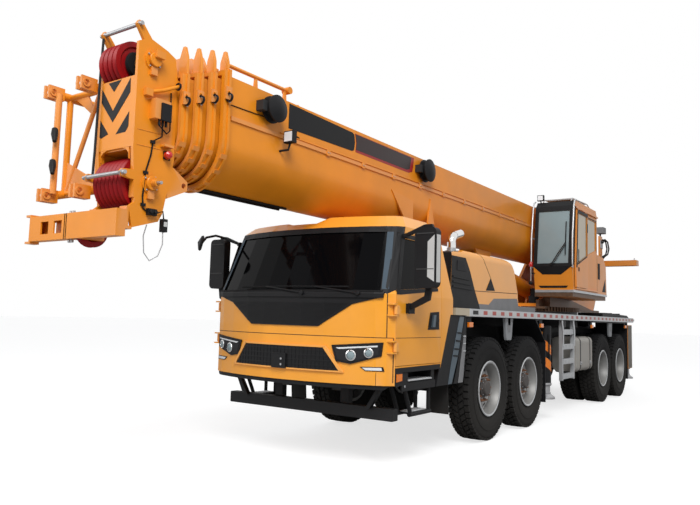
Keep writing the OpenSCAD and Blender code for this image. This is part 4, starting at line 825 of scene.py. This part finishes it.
def operator_cab():
    paint("operator_cab", PLA, lambda x, y, z, n: z > 3.6 and x > -4.05 and n.x > 0.4)
    # the turntable's lower sides under the operator's cab turn dark brown: painted shade
    paint("turntable", BRO, lambda x, y, z, n: z < 2.1 and abs(n.z) < 0.5 and y > 0.3)
    paint("operator_cab_glass", TAN, lambda x, y, z, n: abs(n.y) > 0.9)
    paint("operator_door_glass", TAN, lambda x, y, z, n: True)
    p = Piece("operator_cab_trim", "upper")
    # front: lower panel, black surround of the screen, louvre
    op_front(p, rect(OP_Y0, OP_Y1, 2.118, 2.6), PROUD, 0.01, ORA)
    op_front(p, [(OP_Y0, 2.63), (OP_Y1, 2.63), (OP_Y1, 2.575), (1.0, 2.425), (0.66, 2.43), (OP_Y0, 2.575)],
             0.0104, 0.006, PLA)
    for a, b in ((OP_Y0, 0.565), (1.135, OP_Y1)):
        op_front(p, rect(a, b, 2.62, 3.7), PROUD, 0.006, PLA)
    op_front(p, rect(OP_Y0, OP_Y1, 3.61, 3.715), 0.0008, 0.007, PLA)
    op_front(p, [(0.57, 2.225), (1.12, 2.225), (1.08, 2.185), (0.61, 2.185)], 0.0104, 0.004, PLA)
    for k in range(12):
        y = 0.62 + 0.037 * k
        op_front(p, rect(y, y + 0.008, 2.223, 2.188), 0.0144, 0.004, BLK)
    # bright sill
    p.prism([(-3.822, 2.104), (-3.805, 2.104), (-3.797, 2.15), (-3.815, 2.15)], "y", OP_Y0, OP_Y1 + 0.006,
            SIL)
    p.box((-6.13, -3.825), (OP_Y1 + PROUD, OP_Y1 + 0.007), (2.108, 2.15), SIL)
    # side: pillar, rear cover seams, vent, recess, window frame
    flat(p, [(-3.735, 2.6), (-3.862, 3.7), (-3.935, 3.7), (-3.955, 3.665), (-3.845, 2.6)], OP_Y1 + PROUD,
         0.004, PLA)
    flat(p, strip((-5.405, 2.9), (-5.405, 2.16), 0.008), OP_Y1 + SKIN, 0.0015, SEAM)
    flat(p, strip((-4.66, 2.19), (-5.4, 2.19), 0.008), OP_Y1 + SKIN, 0.0015, SEAM)
    flat(p, rect(-5.46, -5.61, 2.44, 2.76), OP_Y1 + SKIN, 0.003, INT)
    for k in range(13):
        z = 2.452 + 0.0245 * k
        flat(p, strip((-5.465, z), (-5.605, z), 0.011), OP_Y1 + 0.0033, 0.005, PLA)
    flat(p, [(-5.78, 2.2), (-6.05, 2.2), (-6.02, 2.46)], OP_Y1 + SKIN, 0.003, PLA)
    flat(p, [(-4.7, 2.86), (-4.7, 3.58), (-5.335, 3.58), (-5.335, 2.985), (-5.355, 2.965), (-5.355, 3.6),
             (-4.68, 3.6), (-4.68, 2.84)], OP_Y1 + SKIN, 0.004, PLA)
    # roof guard with its bars
    for y in (0.6, 1.12):
        p.tube([(-3.98, y, 3.805), (-4.05, y, 3.865), (-5.02, y, 3.895), (-5.3, y, 3.805)], 0.012, SIL, n=10)
    for k in range(14):
        x, z = -4.07 - 0.072 * k, 3.866 + 0.03 * k / 13
        p.tube([(x, 0.6, z), (x, 1.12, z)], 0.008, SIL)
    p.box((-5.02, -4.06), (0.62, 1.1), (3.845, 3.852), LTG)
    # handrails at the front corners
    for y, inward in ((0.468, 0.03), (1.222, -0.03)):
        p.tube([(op_x(2.56) + 0.004, y, 2.55), (-3.685, y, 2.6), (-3.7, y, 3.1), (-3.8, y, 3.68),
                (-3.85, y, 3.78), (-3.93, y, 3.815)], 0.014, SIL, n=10)
        for z in (2.56, 3.1, 3.7):
            x = -3.685 - (z - 2.6) * 0.1 if z < 3.2 else -3.812
            p.tube([(x, y, z), (op_x(z) - 0.02, y + inward, z)], 0.009, SIL)
    # wiper
    p.disc((op_x(2.6) + 0.008, 0.84, 2.615), (1, 0, 0.1), 0.024, 0.036, PLA, n=18)
    p.tube([(op_x(2.62) + 0.042, 0.84, 2.615), (op_x(2.8) + 0.046, 0.95, 2.8),
            (op_x(3.0) + 0.03, 1.075, 3.0)], 0.009, PLA)
    p.tube([(op_x(2.62) + 0.042, 0.87, 2.615), (op_x(2.98) + 0.03, 1.078, 2.96)], 0.006, PLA)
    p.tube([(op_x(2.78) + 0.02, 1.082, 2.78), (op_x(3.4) + 0.02, 1.082, 3.4)], 0.009, RUB)
    # roof lamp
    p.tube([(-3.97, 0.56, 3.8), (-3.945, 0.56, 3.84)], 0.012, PLA)
    p.box((-3.985, -3.925), (0.5, 0.62), (3.835, 3.945), PLA)
    p.box((-3.925, -3.918), (0.512, 0.608), (3.848, 3.933), LMP)
    # beacon with its stem
    x, y = -3.665, 0.47
    p.tube([(x, y, 2.27), (x, y, 2.57)], 0.009, STL)
    p.turn([(0.03, 0), (0.033, 0.008), (0.033, 0.07), (0.022, 0.09), (0.001, 0.096)], (x, y, 2.57), Z, REDL,
           n=24)
    p.turn([(0.001, -0.04), (0.03, -0.028), (0.042, 0), (0.03, 0.028), (0.001, 0.04)], (x, y, 2.27), Z, PLA,
           n=20)
    p.tube([(x, y, 2.45), (-3.76, 0.52, 2.45)], 0.01, PLA)
    p.done(bevel=0.0015)
    d = Piece("operator_door_trim", "sliding_door")
    for pts in ([(-3.872, 2.56), (-3.966, 3.632), (-4.005, 3.632), (-4.012, 3.572), (-3.932, 2.618),
                 (-3.932, 2.56)],
                [(-4.012, 3.572), (-4.005, 3.632), (-4.632, 3.632), (-4.632, 3.572)],
                strip((-3.93, 2.615), (-4.572, 2.815), 0.022), strip((-4.572, 2.81), (-4.572, 3.575), 0.016)):
        flat(d, pts, OP_DOOR_Y, 0.004, PLA)
    d.box((-4.06, -4.0), (OP_DOOR_Y, 1.2463), (2.5, 2.57), PLA)
    d.tube([(-4.0, 1.243, 2.66), (-4.0, 1.2475, 2.68), (-4.005, 1.2475, 2.88), (-4.005, 1.243, 2.9)], 0.007,
           PLA)
    d.box((-4.615, -4.59), (OP_DOOR_Y, 1.2463), (3.28, 3.44), PLA)
    d.done()


def slewing_gear():
    p = Piece("ring_teeth", "upper")
    count = 96
    for k in range(count):
        v = []
        for z in (1.768, 1.848):
            for r, w in ((0.915, 0.62), (0.96, 0.4)):
                for e in (-1, 1):
                    a = TAU * k / count + e * w * math.pi / count
                    v.append((SLEW_X + r * math.cos(a), r * math.sin(a), z))
        p.add(v, [(0, 1, 3, 2), (4, 6, 7, 5), (2, 3, 7, 6), (0, 2, 6, 4), (1, 5, 7, 3)], BRO)
    # swing drives on the turntable's plate, with hoses
    for y in (-0.34, 0.34):
        p.turn([(0.13, 0), (0.13, 0.06), (0.1, 0.07), (0.1, 0.2), (0.07, 0.21), (0.07, 0.34), (0.001, 0.35)],
               (-4.2, y, 1.85), Z, BLK, n=28)
        p.tube([(-4.2, y, 2.12), (-4.3, y * 0.8, 2.16), (-4.55, y * 0.6, 2.02), (-4.75, y * 0.5, 1.9),
                (-4.85, y * 0.5, 1.852)], 0.02, RUB, n=10)
    for y in (-0.36, -0.3, 0.3, 0.36):
        p.tube([(-6.3, y, 1.88), (-5.7, y, 1.9), (-5.0, y * 0.9, 1.88), (-4.9, y * 0.9, 1.852)], 0.018, RUB)
    p.done()


def winch_ropes():
    p = Piece("winch_ropes", "upper")
    for x, z in ((-7.46, 2.33), (-7.96, 2.56)):
        wound = []
        for k in range(30):
            y = -0.352 + 0.0243 * k
            wound += [(0.2006, y - 0.012), (0.2085, y - 0.007), (0.2115, y), (0.2085, y + 0.007)]
        p.turn(wound, (x, 0, z), Y, STL, n=40)
        for s in (-1, 1):
            p.turn([(0.245, 0), (0.245, 0.004), (0.16, 0.01), (0.001, 0.01)], (x, s * 0.3905, z), (0, s, 0),
                   BLK, n=36)
    p.done()


def tail():
    p = Piece("tail_fittings", "upper")
    for s in (-1, 1):
        # lamps, hose loops, end fittings of the cross beam
        p.tube([(-8.64, s * 0.45, 3.695), (-8.64, s * 0.45, 3.77)], 0.022, PLA, n=10)
        p.box((-8.76, -8.5), span(s, 0.38, 0.56), (3.765, 3.915), GREY)
        p.box((-8.772, -8.76), span(s, 0.4, 0.54), (3.785, 3.895), LMP)
        for dy in (0.0, 0.045):
            p.tube([(x, s * (y + dy), z) for x, y, z in (
                (-8.56, 0.48, 3.52), (-8.66, 0.51, 3.62), (-8.86, 0.525, 3.58), (-8.96, 0.53, 3.42),
                (-8.86, 0.525, 3.27), (-8.66, 0.5, 3.2), (-8.58, 0.482, 3.14))], 0.018, RUB, n=10)
        p.box((-8.735, -8.545), span(s, 0.4705, 0.486), (3.4, 3.6), STL)
        p.tube([(-8.95, s * 1.17, 3.1105), (-8.95, s * 1.17, 3.17)], 0.012, STL)
        p.box((-9.0, -8.9), span(s, 1.12, 1.22), (3.1103, 3.122), STL)
        p.box((-9.0503, -9.046), span(s, 0.7, 1.18), (3.0, 3.09), REF)
    p.done(bevel=0.002)


operator_cab()
slewing_gear()
winch_ropes()
tail()


# Boom: panels, reels, lamps, collar guides, head fittings, jib details
BOOM_LOW, BOOM_TOP, BOOM_HW = 2.72, 3.74, 0.4
BOOM_STEP, COLLAR_X, COLLAR_PITCH = 0.04, 4.14, 0.125
HEAD_HW, HEAD_FRONT = 0.248, 5.0303
TOP_PIN, LOW_PIN = (4.88, 3.665), (4.845, 2.615)


def boom_side():
    p = Piece("boom_fittings", "boom")
    hw = BOOM_HW
    # blank name panels with their border
    flat(p, [(3.275, 3.462), (2.12, 3.48), (2.085, 3.5), (2.07, 3.59), (2.085, 3.68), (2.12, 3.698),
             (3.275, 3.722)], hw + PROUD, 0.003, PLA)
    flat(p, [(2.055, 3.482), (0.8, 3.478), (0.7, 3.51), (0.66, 3.702), (2.07, 3.7), (2.045, 3.59)],
         hw + PROUD, 0.002, PRE)
    flat(p, [(2.05, 3.51), (0.86, 3.508), (0.775, 3.53), (0.735, 3.695), (2.065, 3.693), (2.04, 3.59)],
         hw + 0.0024, 0.002, PAN)
    # rail brackets, wires
    for x in (2.6, 1.9, 1.2, 0.5, -0.2, -0.9, -1.6, -2.3, -3.0):
        p.box(about(x, 0.03), (hw + 0.0142, hw + 0.022), (3.318, 3.382), ORA)
        for e in (-0.018, 0.018):
            p.disc((x + e, hw + 0.022, 3.35), Y, 0.007, 0.006, STL, n=6)
    p.tube([(4.1, hw + 0.004, 3.474), (3.66, hw + 0.004, 3.482)], 0.005, RUB, n=6)
    p.tube([(3.4, hw + 0.006, 3.383), (0.52, hw + 0.006, 3.39), (-3.6, hw + 0.006, 3.39)], 0.006, ORA, n=6)
    # cable reels
    for x, z, r in ((3.58, 3.565, 0.135), (0.42, 3.57, 0.155)):
        c = (x, hw, z)
        p.turn([(0.07, 0), (0.07, 0.03), (r, 0.03), (r, 0.045), (r * 0.8, 0.05), (r * 0.8, 0.105), (r, 0.11),
                (r, 0.125), (r * 0.55, 0.15), (r * 0.25, 0.16), (0.001, 0.162)], c, Y, PLA, n=36)
        for at in around((x, hw + 0.126, z), 0.7 * r, 6, 0.3):
            p.disc(at, Y, 0.01, 0.008, BLK, n=8)
        wound = []
        for k in range(5):
            wound += [(r * 0.8, 0.052 + 0.0106 * k), (r * 0.86, 0.0573 + 0.0106 * k)]
        p.turn(wound, c, Y, RUB, n=36)
        p.box((x + r * 0.9, x + r + 0.05), (hw, hw + 0.09), about(z, 0.05), BLK)
    # work lamp on its bracket
    p.box((3.34, 3.4), (hw + 0.05, hw + 0.17), (3.27, 3.39), PLA)
    p.box((3.4, 3.408), (hw + 0.062, hw + 0.158), (3.282, 3.378), LMP)
    p.tube([(3.37, hw + 0.11, 3.27), (3.37, hw + 0.09, 3.205), (3.4, hw, 3.195)], 0.012, PLA)
    p.tube([(3.37, hw + 0.08, 3.39), (3.3, hw + 0.03, 3.41), (3.1, hw + 0.004, 3.4)], 0.006, RUB, n=6)
    # guide plates low on the side
    p.prism([(1.235, 3.178), (0.684, 3.115), (0.672, 2.755), (0.8, 2.755)], "y", 0.385, 0.412, ORA)
    p.prism([(0.19, 3.225), (0.03, 2.76), (0.27, 2.76)], "y", 0.385, 0.412, ORA)
    # raised guide rail with its end roller
    p.tube([(4.13, 0.3, 3.885), (3.22, 0.3, 3.893)], 0.02, ORA, n=12)
    for x in (4.11, 3.68, 3.24):
        p.prism([(x - 0.03, 3.735), (x + 0.03, 3.735), (x + 0.014, 3.885), (x - 0.014, 3.885)], "y", 0.29,
                0.31, ORA)
    p.turn([(0.001, -0.045), (0.038, -0.045), (0.038, 0.045), (0.001, 0.045)], (3.2, 0.3, 3.893), Y, ORA,
           n=20)
    # hoses along the underside
    for y in (-0.05, 0.05):
        p.tube([(4.08, y, BOOM_LOW - 0.008), (2.86, y, BOOM_LOW - 0.008)], 0.014, PLA)
    # roller at the end of the top rails
    p.turn([(0.035, -0.235), (0.035, 0.235)], (2.93, 0, 3.795), Y, ORA, n=20)
    p.done(bevel=0.002)


def collars():
    for k in range(4):
        q = Piece(f"collar_guides_{k + 1}", f"tele_{k}" if k else "boom")
        x, half, top = COLLAR_X + COLLAR_PITCH * k, BOOM_HW - BOOM_STEP * k, BOOM_TOP - BOOM_STEP * k
        e = 0.03 if k else 0.045
        y, z = half + e + 0.008, top - 0.23
        # guide ring with its stay and bolts
        q.turn([(0.03, 0.0), (0.042, 0.0), (0.042, 0.02), (0.03, 0.02)], (x + 0.04, y + 0.014, z), X, PLA,
               n=24, closed=True)
        q.tube([(x + 0.05, y - 0.004, z + 0.05), (x + 0.05, y + 0.02, z + 0.06)], 0.01, ORA)
        for drop in (0.195, 0.265):
            q.disc((x + 0.04, y, top - drop), Y, 0.012, 0.012, STL, n=8)
        # tapered fin and clamp on the collar's upper corner
        foot, tip = top - 0.06, 3.965 - 0.02 * k
        q.prism([(half - 0.09, foot), (half + 0.022, foot), (half + 0.012, tip - 0.1), (half - 0.02, tip),
                 (half - 0.048, tip), (half - 0.085, tip - 0.1)], "x", x + 0.012, x + 0.038, ORA)
        q.box((x + 0.01, x + 0.045), (half * 0.55, half * 0.55 + 0.05), (top + e - 0.012, top + e + 0.04),
              ORA)
        q.done(bevel=0.002)


def near(x, z, at, r):
    return math.hypot(x - at[0], z - at[1]) < r


def head():
    paint("boom_section_5", BRO, lambda x, y, z, n: abs(n.y) < 0.5 and abs(y) < 0.25 and (
        near(x, z, TOP_PIN, 0.052) or near(x, z, LOW_PIN, 0.052)))
    paint("boom_section_5", STL,
          lambda x, y, z, n: near(x, z, (5.03, 3.935), 0.022) or near(x, z, (5.115, 2.665), 0.021))
    p = Piece("head_fittings", "tele_4")
    # dark chevrons, rounded top of the window
    for pts in ([(-0.13, 3.487), (0.045, 3.492), (-0.05, 3.4)],
                [(-0.215, 3.45), (-0.05, 3.235), (0.165, 3.487), (0.17, 3.362), (-0.045, 3.135),
                 (-0.215, 3.33)],
                [(-0.215, 3.175), (-0.095, 3.04), (-0.195, 3.012), (-0.215, 3.03)],
                [(0.17, 3.2), (0.17, 3.075), (0.135, 3.03), (0.005, 3.025)]):
        p.prism(pts, "x", HEAD_FRONT, HEAD_FRONT + 0.002, PLA)
    for s in (-1, 1):
        p.prism(flip(s, ((0.19, 2.899), (0.1, 2.899), (0.155, 2.882), (0.185, 2.85), (0.19, 2.8))), "x",
                5.008, 5.029, ORA)
    hw = HEAD_HW

    def run(pts, r, m, n=8):
        """Rod or cable through points whose y is measured from the left plate."""
        p.tube([(x, hw + y, z) for x, y, z in pts], r, m, n)

    # boxes, connectors and cables on the left plate
    p.box((4.735, 4.835), (hw + 0.08, hw + 0.1), (3.15, 3.3), PLA)
    for k in range(3):
        p.disc((4.76 + 0.035 * k, hw + 0.06, 3.161), (0, 0, -1), 0.011, 0.05, PLA, n=10)
    run(((4.795, 0.06, 3.11), (4.77, 0.03, 3.03), (4.84, 0.008, 2.98), (4.855, 0.006, 2.86),
         (4.9, 0.006, 2.7), (4.915, 0.006, 2.5), (4.905, 0.006, 2.4), (4.86, 0.008, 2.375)), 0.007, RUB)
    run(((4.83, 0.06, 3.11), (4.74, 0.05, 3.06), (4.69, 0.03, 3.1), (4.675, 0.01, 3.3), (4.68, 0.01, 3.44)),
        0.006, RUB)
    for x, z in ((4.845, 2.97), (4.9, 2.7), (4.908, 2.43)):
        p.box(about(x, 0.022), (hw + PROUD, hw + 0.018), about(z, 0.012), PLA)
    p.turn([(0.034, 0), (0.036, 0.01), (0.03, 0.05), (0.012, 0.062), (0.001, 0.064)],
           (4.69, hw + 0.012, 2.885), (0.35, 1, 0), REDL, n=24)
    p.box((4.655, 4.725), (hw + PROUD, hw + 0.014), (2.85, 2.92), PLA)
    p.box((4.78, 4.87), (hw + PROUD, hw + 0.035), (2.35, 2.405), PLA)
    for x in (4.8, 4.845):
        p.disc((x, hw + 0.035, 2.378), Y, 0.016, 0.02, BLK, n=14)
    # limit switch with its hanging chain loop
    p.box((4.672, 4.722), (hw - 0.002, hw + 0.045), (2.225, 2.335), PLA)
    p.box((4.68, 4.714), (hw + 0.0453, hw + 0.049), (2.27, 2.31), WHT)
    run(((4.697, 0.02, 2.335), (4.71, 0.02, 2.4), (4.76, 0.02, 2.38)), 0.006, RUB)
    run(((4.7, 0.02, 2.225), (4.705, 0.03, 2.12), (4.74, 0.02, 2.02), (4.8, -0.01, 1.975),
         (4.845, -0.03, 2.04), (4.85, -0.04, 2.18), (4.83, -0.03, 2.275)), 0.005, STL)
    # guide rod towards the collars
    run(((4.93, 0.02, 3.375), (4.78, 0.035, 3.43), (4.64, 0.05, 3.5)), 0.016, ORA, n=10)
    p.box((4.89, 4.96), (hw + PROUD, hw + 0.04), (3.345, 3.405), ORA)
    p.turn([(0.022, 0.0), (0.034, 0.0), (0.034, 0.016), (0.022, 0.016)], (4.635, hw + 0.055, 3.5), X, PLA,
           n=20, closed=True)
    # keepers, bosses and bolts
    for x, z in (TOP_PIN, LOW_PIN):
        for s in (-1, 1):
            p.disc((x, s * (hw + 0.0252), z), (0, s, 0), 0.06, 0.022, ORA, n=28)
            for at in around((x, s * (hw + 0.012), z), 0.07, 4, 0.6):
                p.disc(at, (0, s, 0), 0.009, 0.01, STL, n=6)
    run(((4.845, 0.047, 2.615), (4.845, 0.1, 2.615)), 0.03, ORA, n=16)
    run(((4.845, 0.1, 2.615), (4.845, 0.15, 2.612)), 0.014, STL, n=12)
    p.box((4.81, 4.9), (hw + 0.047, hw + 0.075), (3.68, 3.74), ORA)
    # hub ring of the top sheaves
    p.turn([(0.05, 0.0), (0.115, 0.0), (0.105, 0.028), (0.06, 0.034), (0.05, 0.034)], (4.88, 0.0245, 3.665),
           Y, RUB, n=36, closed=True)
    # rope down the right edge of the head
    p.tube([(5.045, -0.225, 3.9), (5.052, -0.228, 3.55), (5.058, -0.23, 2.9), (5.075, -0.215, 2.68)], 0.011,
           BLK)
    # weld lines across the left plate
    for z in (3.06, 2.93):
        run(((4.66, 0.001, z), (5.0, 0.001, z - 0.01)), 0.0035, ORA, n=6)
    p.done(bevel=0.0015)
    q = Piece("nose_fittings", "tele_4")
    for y in (-0.46, -0.435):
        q.box((5.1462, 5.15), about(y, 0.006), (2.15, 2.37), ORA)
    for y, z in ((-0.45, 2.135), (-0.41, 2.135), (-0.45, 2.385), (-0.41, 2.385)):
        q.disc((5.1, y, z - 0.012), Z, 0.014, 0.024, STL, n=8)
    for s in (-1, 1):
        q.disc((4.965, -0.34 + s * 0.0905, 2.24), (0, s, 0), 0.06, 0.014, ORA)
    q.done()


def jib():
    p = Piece("jib_fittings", "boom")
    x = 4.79
    p.prism([(-1.055, 2.66), (-1.055, 2.95), (-0.6, 2.74), (-0.6, 2.66)], "x", *about(x, 0.008), ORA)
    p.prism([(-0.98, 3.565), (-0.78, 3.565), (-0.66, 3.4), (-0.72, 3.38)], "x", *about(x, 0.008), ORA)
    p.tube([(x, -1.04, 2.66), (x, -0.6, 3.56)], 0.022, ORA, n=12)
    p.tube([(4.95, -1.0, 3.565), (4.95, -1.0, 2.615)], 0.03, ORA, n=14)
    # grips on the upright
    for z in (3.22, 2.92):
        at = Vector((4.97, -1.0, z))
        p.tube([at, at + Vector((0.02, 0.03, -0.05)), at + Vector((0.04, 0.07, -0.13))], [0.03, 0.032, 0.018],
               PLA, n=12)
        p.tube([at + Vector((-0.03, -0.03, 0.02)), at], 0.016, ORA)
    # pins through the forks and end caps of the chords
    for z in (2.6, 3.58):
        for y in (-0.56, -1.07):
            for s in (-1, 1):
                p.turn([(0.026, 0), (0.04, 0), (0.04, 0.012), (0.026, 0.012)], (4.995, y + s * 0.0452, z),
                       (0, s, 0), ORA, n=24, closed=True)
    for z in (3.06, 3.58):
        for y in (-0.56, -1.07):
            p.disc((-2.003, y, z), (-1, 0, 0), 0.043, 0.012, ORA, n=20)
    # latches between the jib and the boom
    for x in (-1.0, 2.05):
        p.box(about(x, 0.045), (-0.5, -0.44), (3.13, 3.2), STL)
        p.tube([(x, -0.47, 3.2), (x, -0.47, 3.27)], 0.014, STL, n=10)
    p.tube([(4.7, -0.53, 3.52), (4.7, -0.44, 3.52)], 0.045, ORA, n=18)
    p.tube([(4.7, -0.44, 3.52), (4.7, -0.43, 3.52)], 0.028, BLK, n=18)
    p.done()


boom_side()
collars()
head()
jib()


# Floor, backdrop and light
def make_floor(half):
    me = bpy.data.meshes.new("floor")
    me.from_pydata([(-half, -half, 0), (half, -half, 0), (half, half, 0), (-half, half, 0)], [],
                   [(0, 1, 2, 3)])
    o = bpy.data.objects.new("floor", me)
    scene.collection.objects.link(o)
    o.location.z = -0.002
    m = bpy.data.materials.new("floor")
    m.use_nodes = True
    tree = m.node_tree
    b = tree.nodes["Principled BSDF"]
    b.inputs["Base Color"].default_value = (0.42, 0.42, 0.42, 1)
    b.inputs["Roughness"].default_value = 0.8
    # lifted to white for the camera, so that only the soft shadow shows
    b.inputs["Emission Color"].default_value = (1, 1, 1, 1)
    path = shader(tree, "LightPath")
    lift = shader(tree, "Math", [(1, 0.7)], [(path.outputs["Is Camera Ray"], 0)])
    lift.operation = "MULTIPLY"
    tree.links.new(lift.outputs["Value"], b.inputs["Emission Strength"])
    me.materials.append(m)


def make_world():
    """White to the camera, to mirrors and through glass; a plain sky as light for everything else."""
    w = bpy.data.worlds.new("world")
    scene.world = w
    w.use_nodes = True
    tree = w.node_tree
    sky = tree.nodes["Background"]
    sky.inputs["Color"].default_value = (0.95, 0.97, 1.0, 1)
    sky.inputs["Strength"].default_value = 0.42
    white = shader(tree, "Background", [("Color", (1, 1, 1, 1)), ("Strength", 1.0)])
    path = shader(tree, "LightPath")
    seen = path.outputs["Is Camera Ray"]
    for also in ("Is Transmission Ray", "Is Glossy Ray"):
        either = shader(tree, "Math", links=[(seen, 0), (path.outputs[also], 1)])
        either.operation = "MAXIMUM"
        seen = either.outputs["Value"]
    mix = shader(tree, "MixShader", links=[(seen, "Fac"), (sky.outputs["Background"], 1),
                                           (white.outputs["Background"], 2)])
    tree.links.new(mix.outputs["Shader"], tree.nodes["World Output"].inputs["Surface"])


def area_light(name, loc, target, size, power):
    data = bpy.data.lights.new(name, "AREA")
    data.size = size
    data.energy = power
    lamp = bpy.data.objects.new(name, data)
    scene.collection.objects.link(lamp)
    lamp.location = loc
    lamp.rotation_euler = (Vector(target) - Vector(loc)).to_track_quat("-Z", "Y").to_euler()


make_floor(120)
make_world()
area_light("key", (14, 8.5, 14), (0, 0, 1.5), 8, 3000)
area_light("fill", (16, -7, 6), (3, 0, 1.5), 7, 450)
scene.view_settings.view_transform = "Standard"
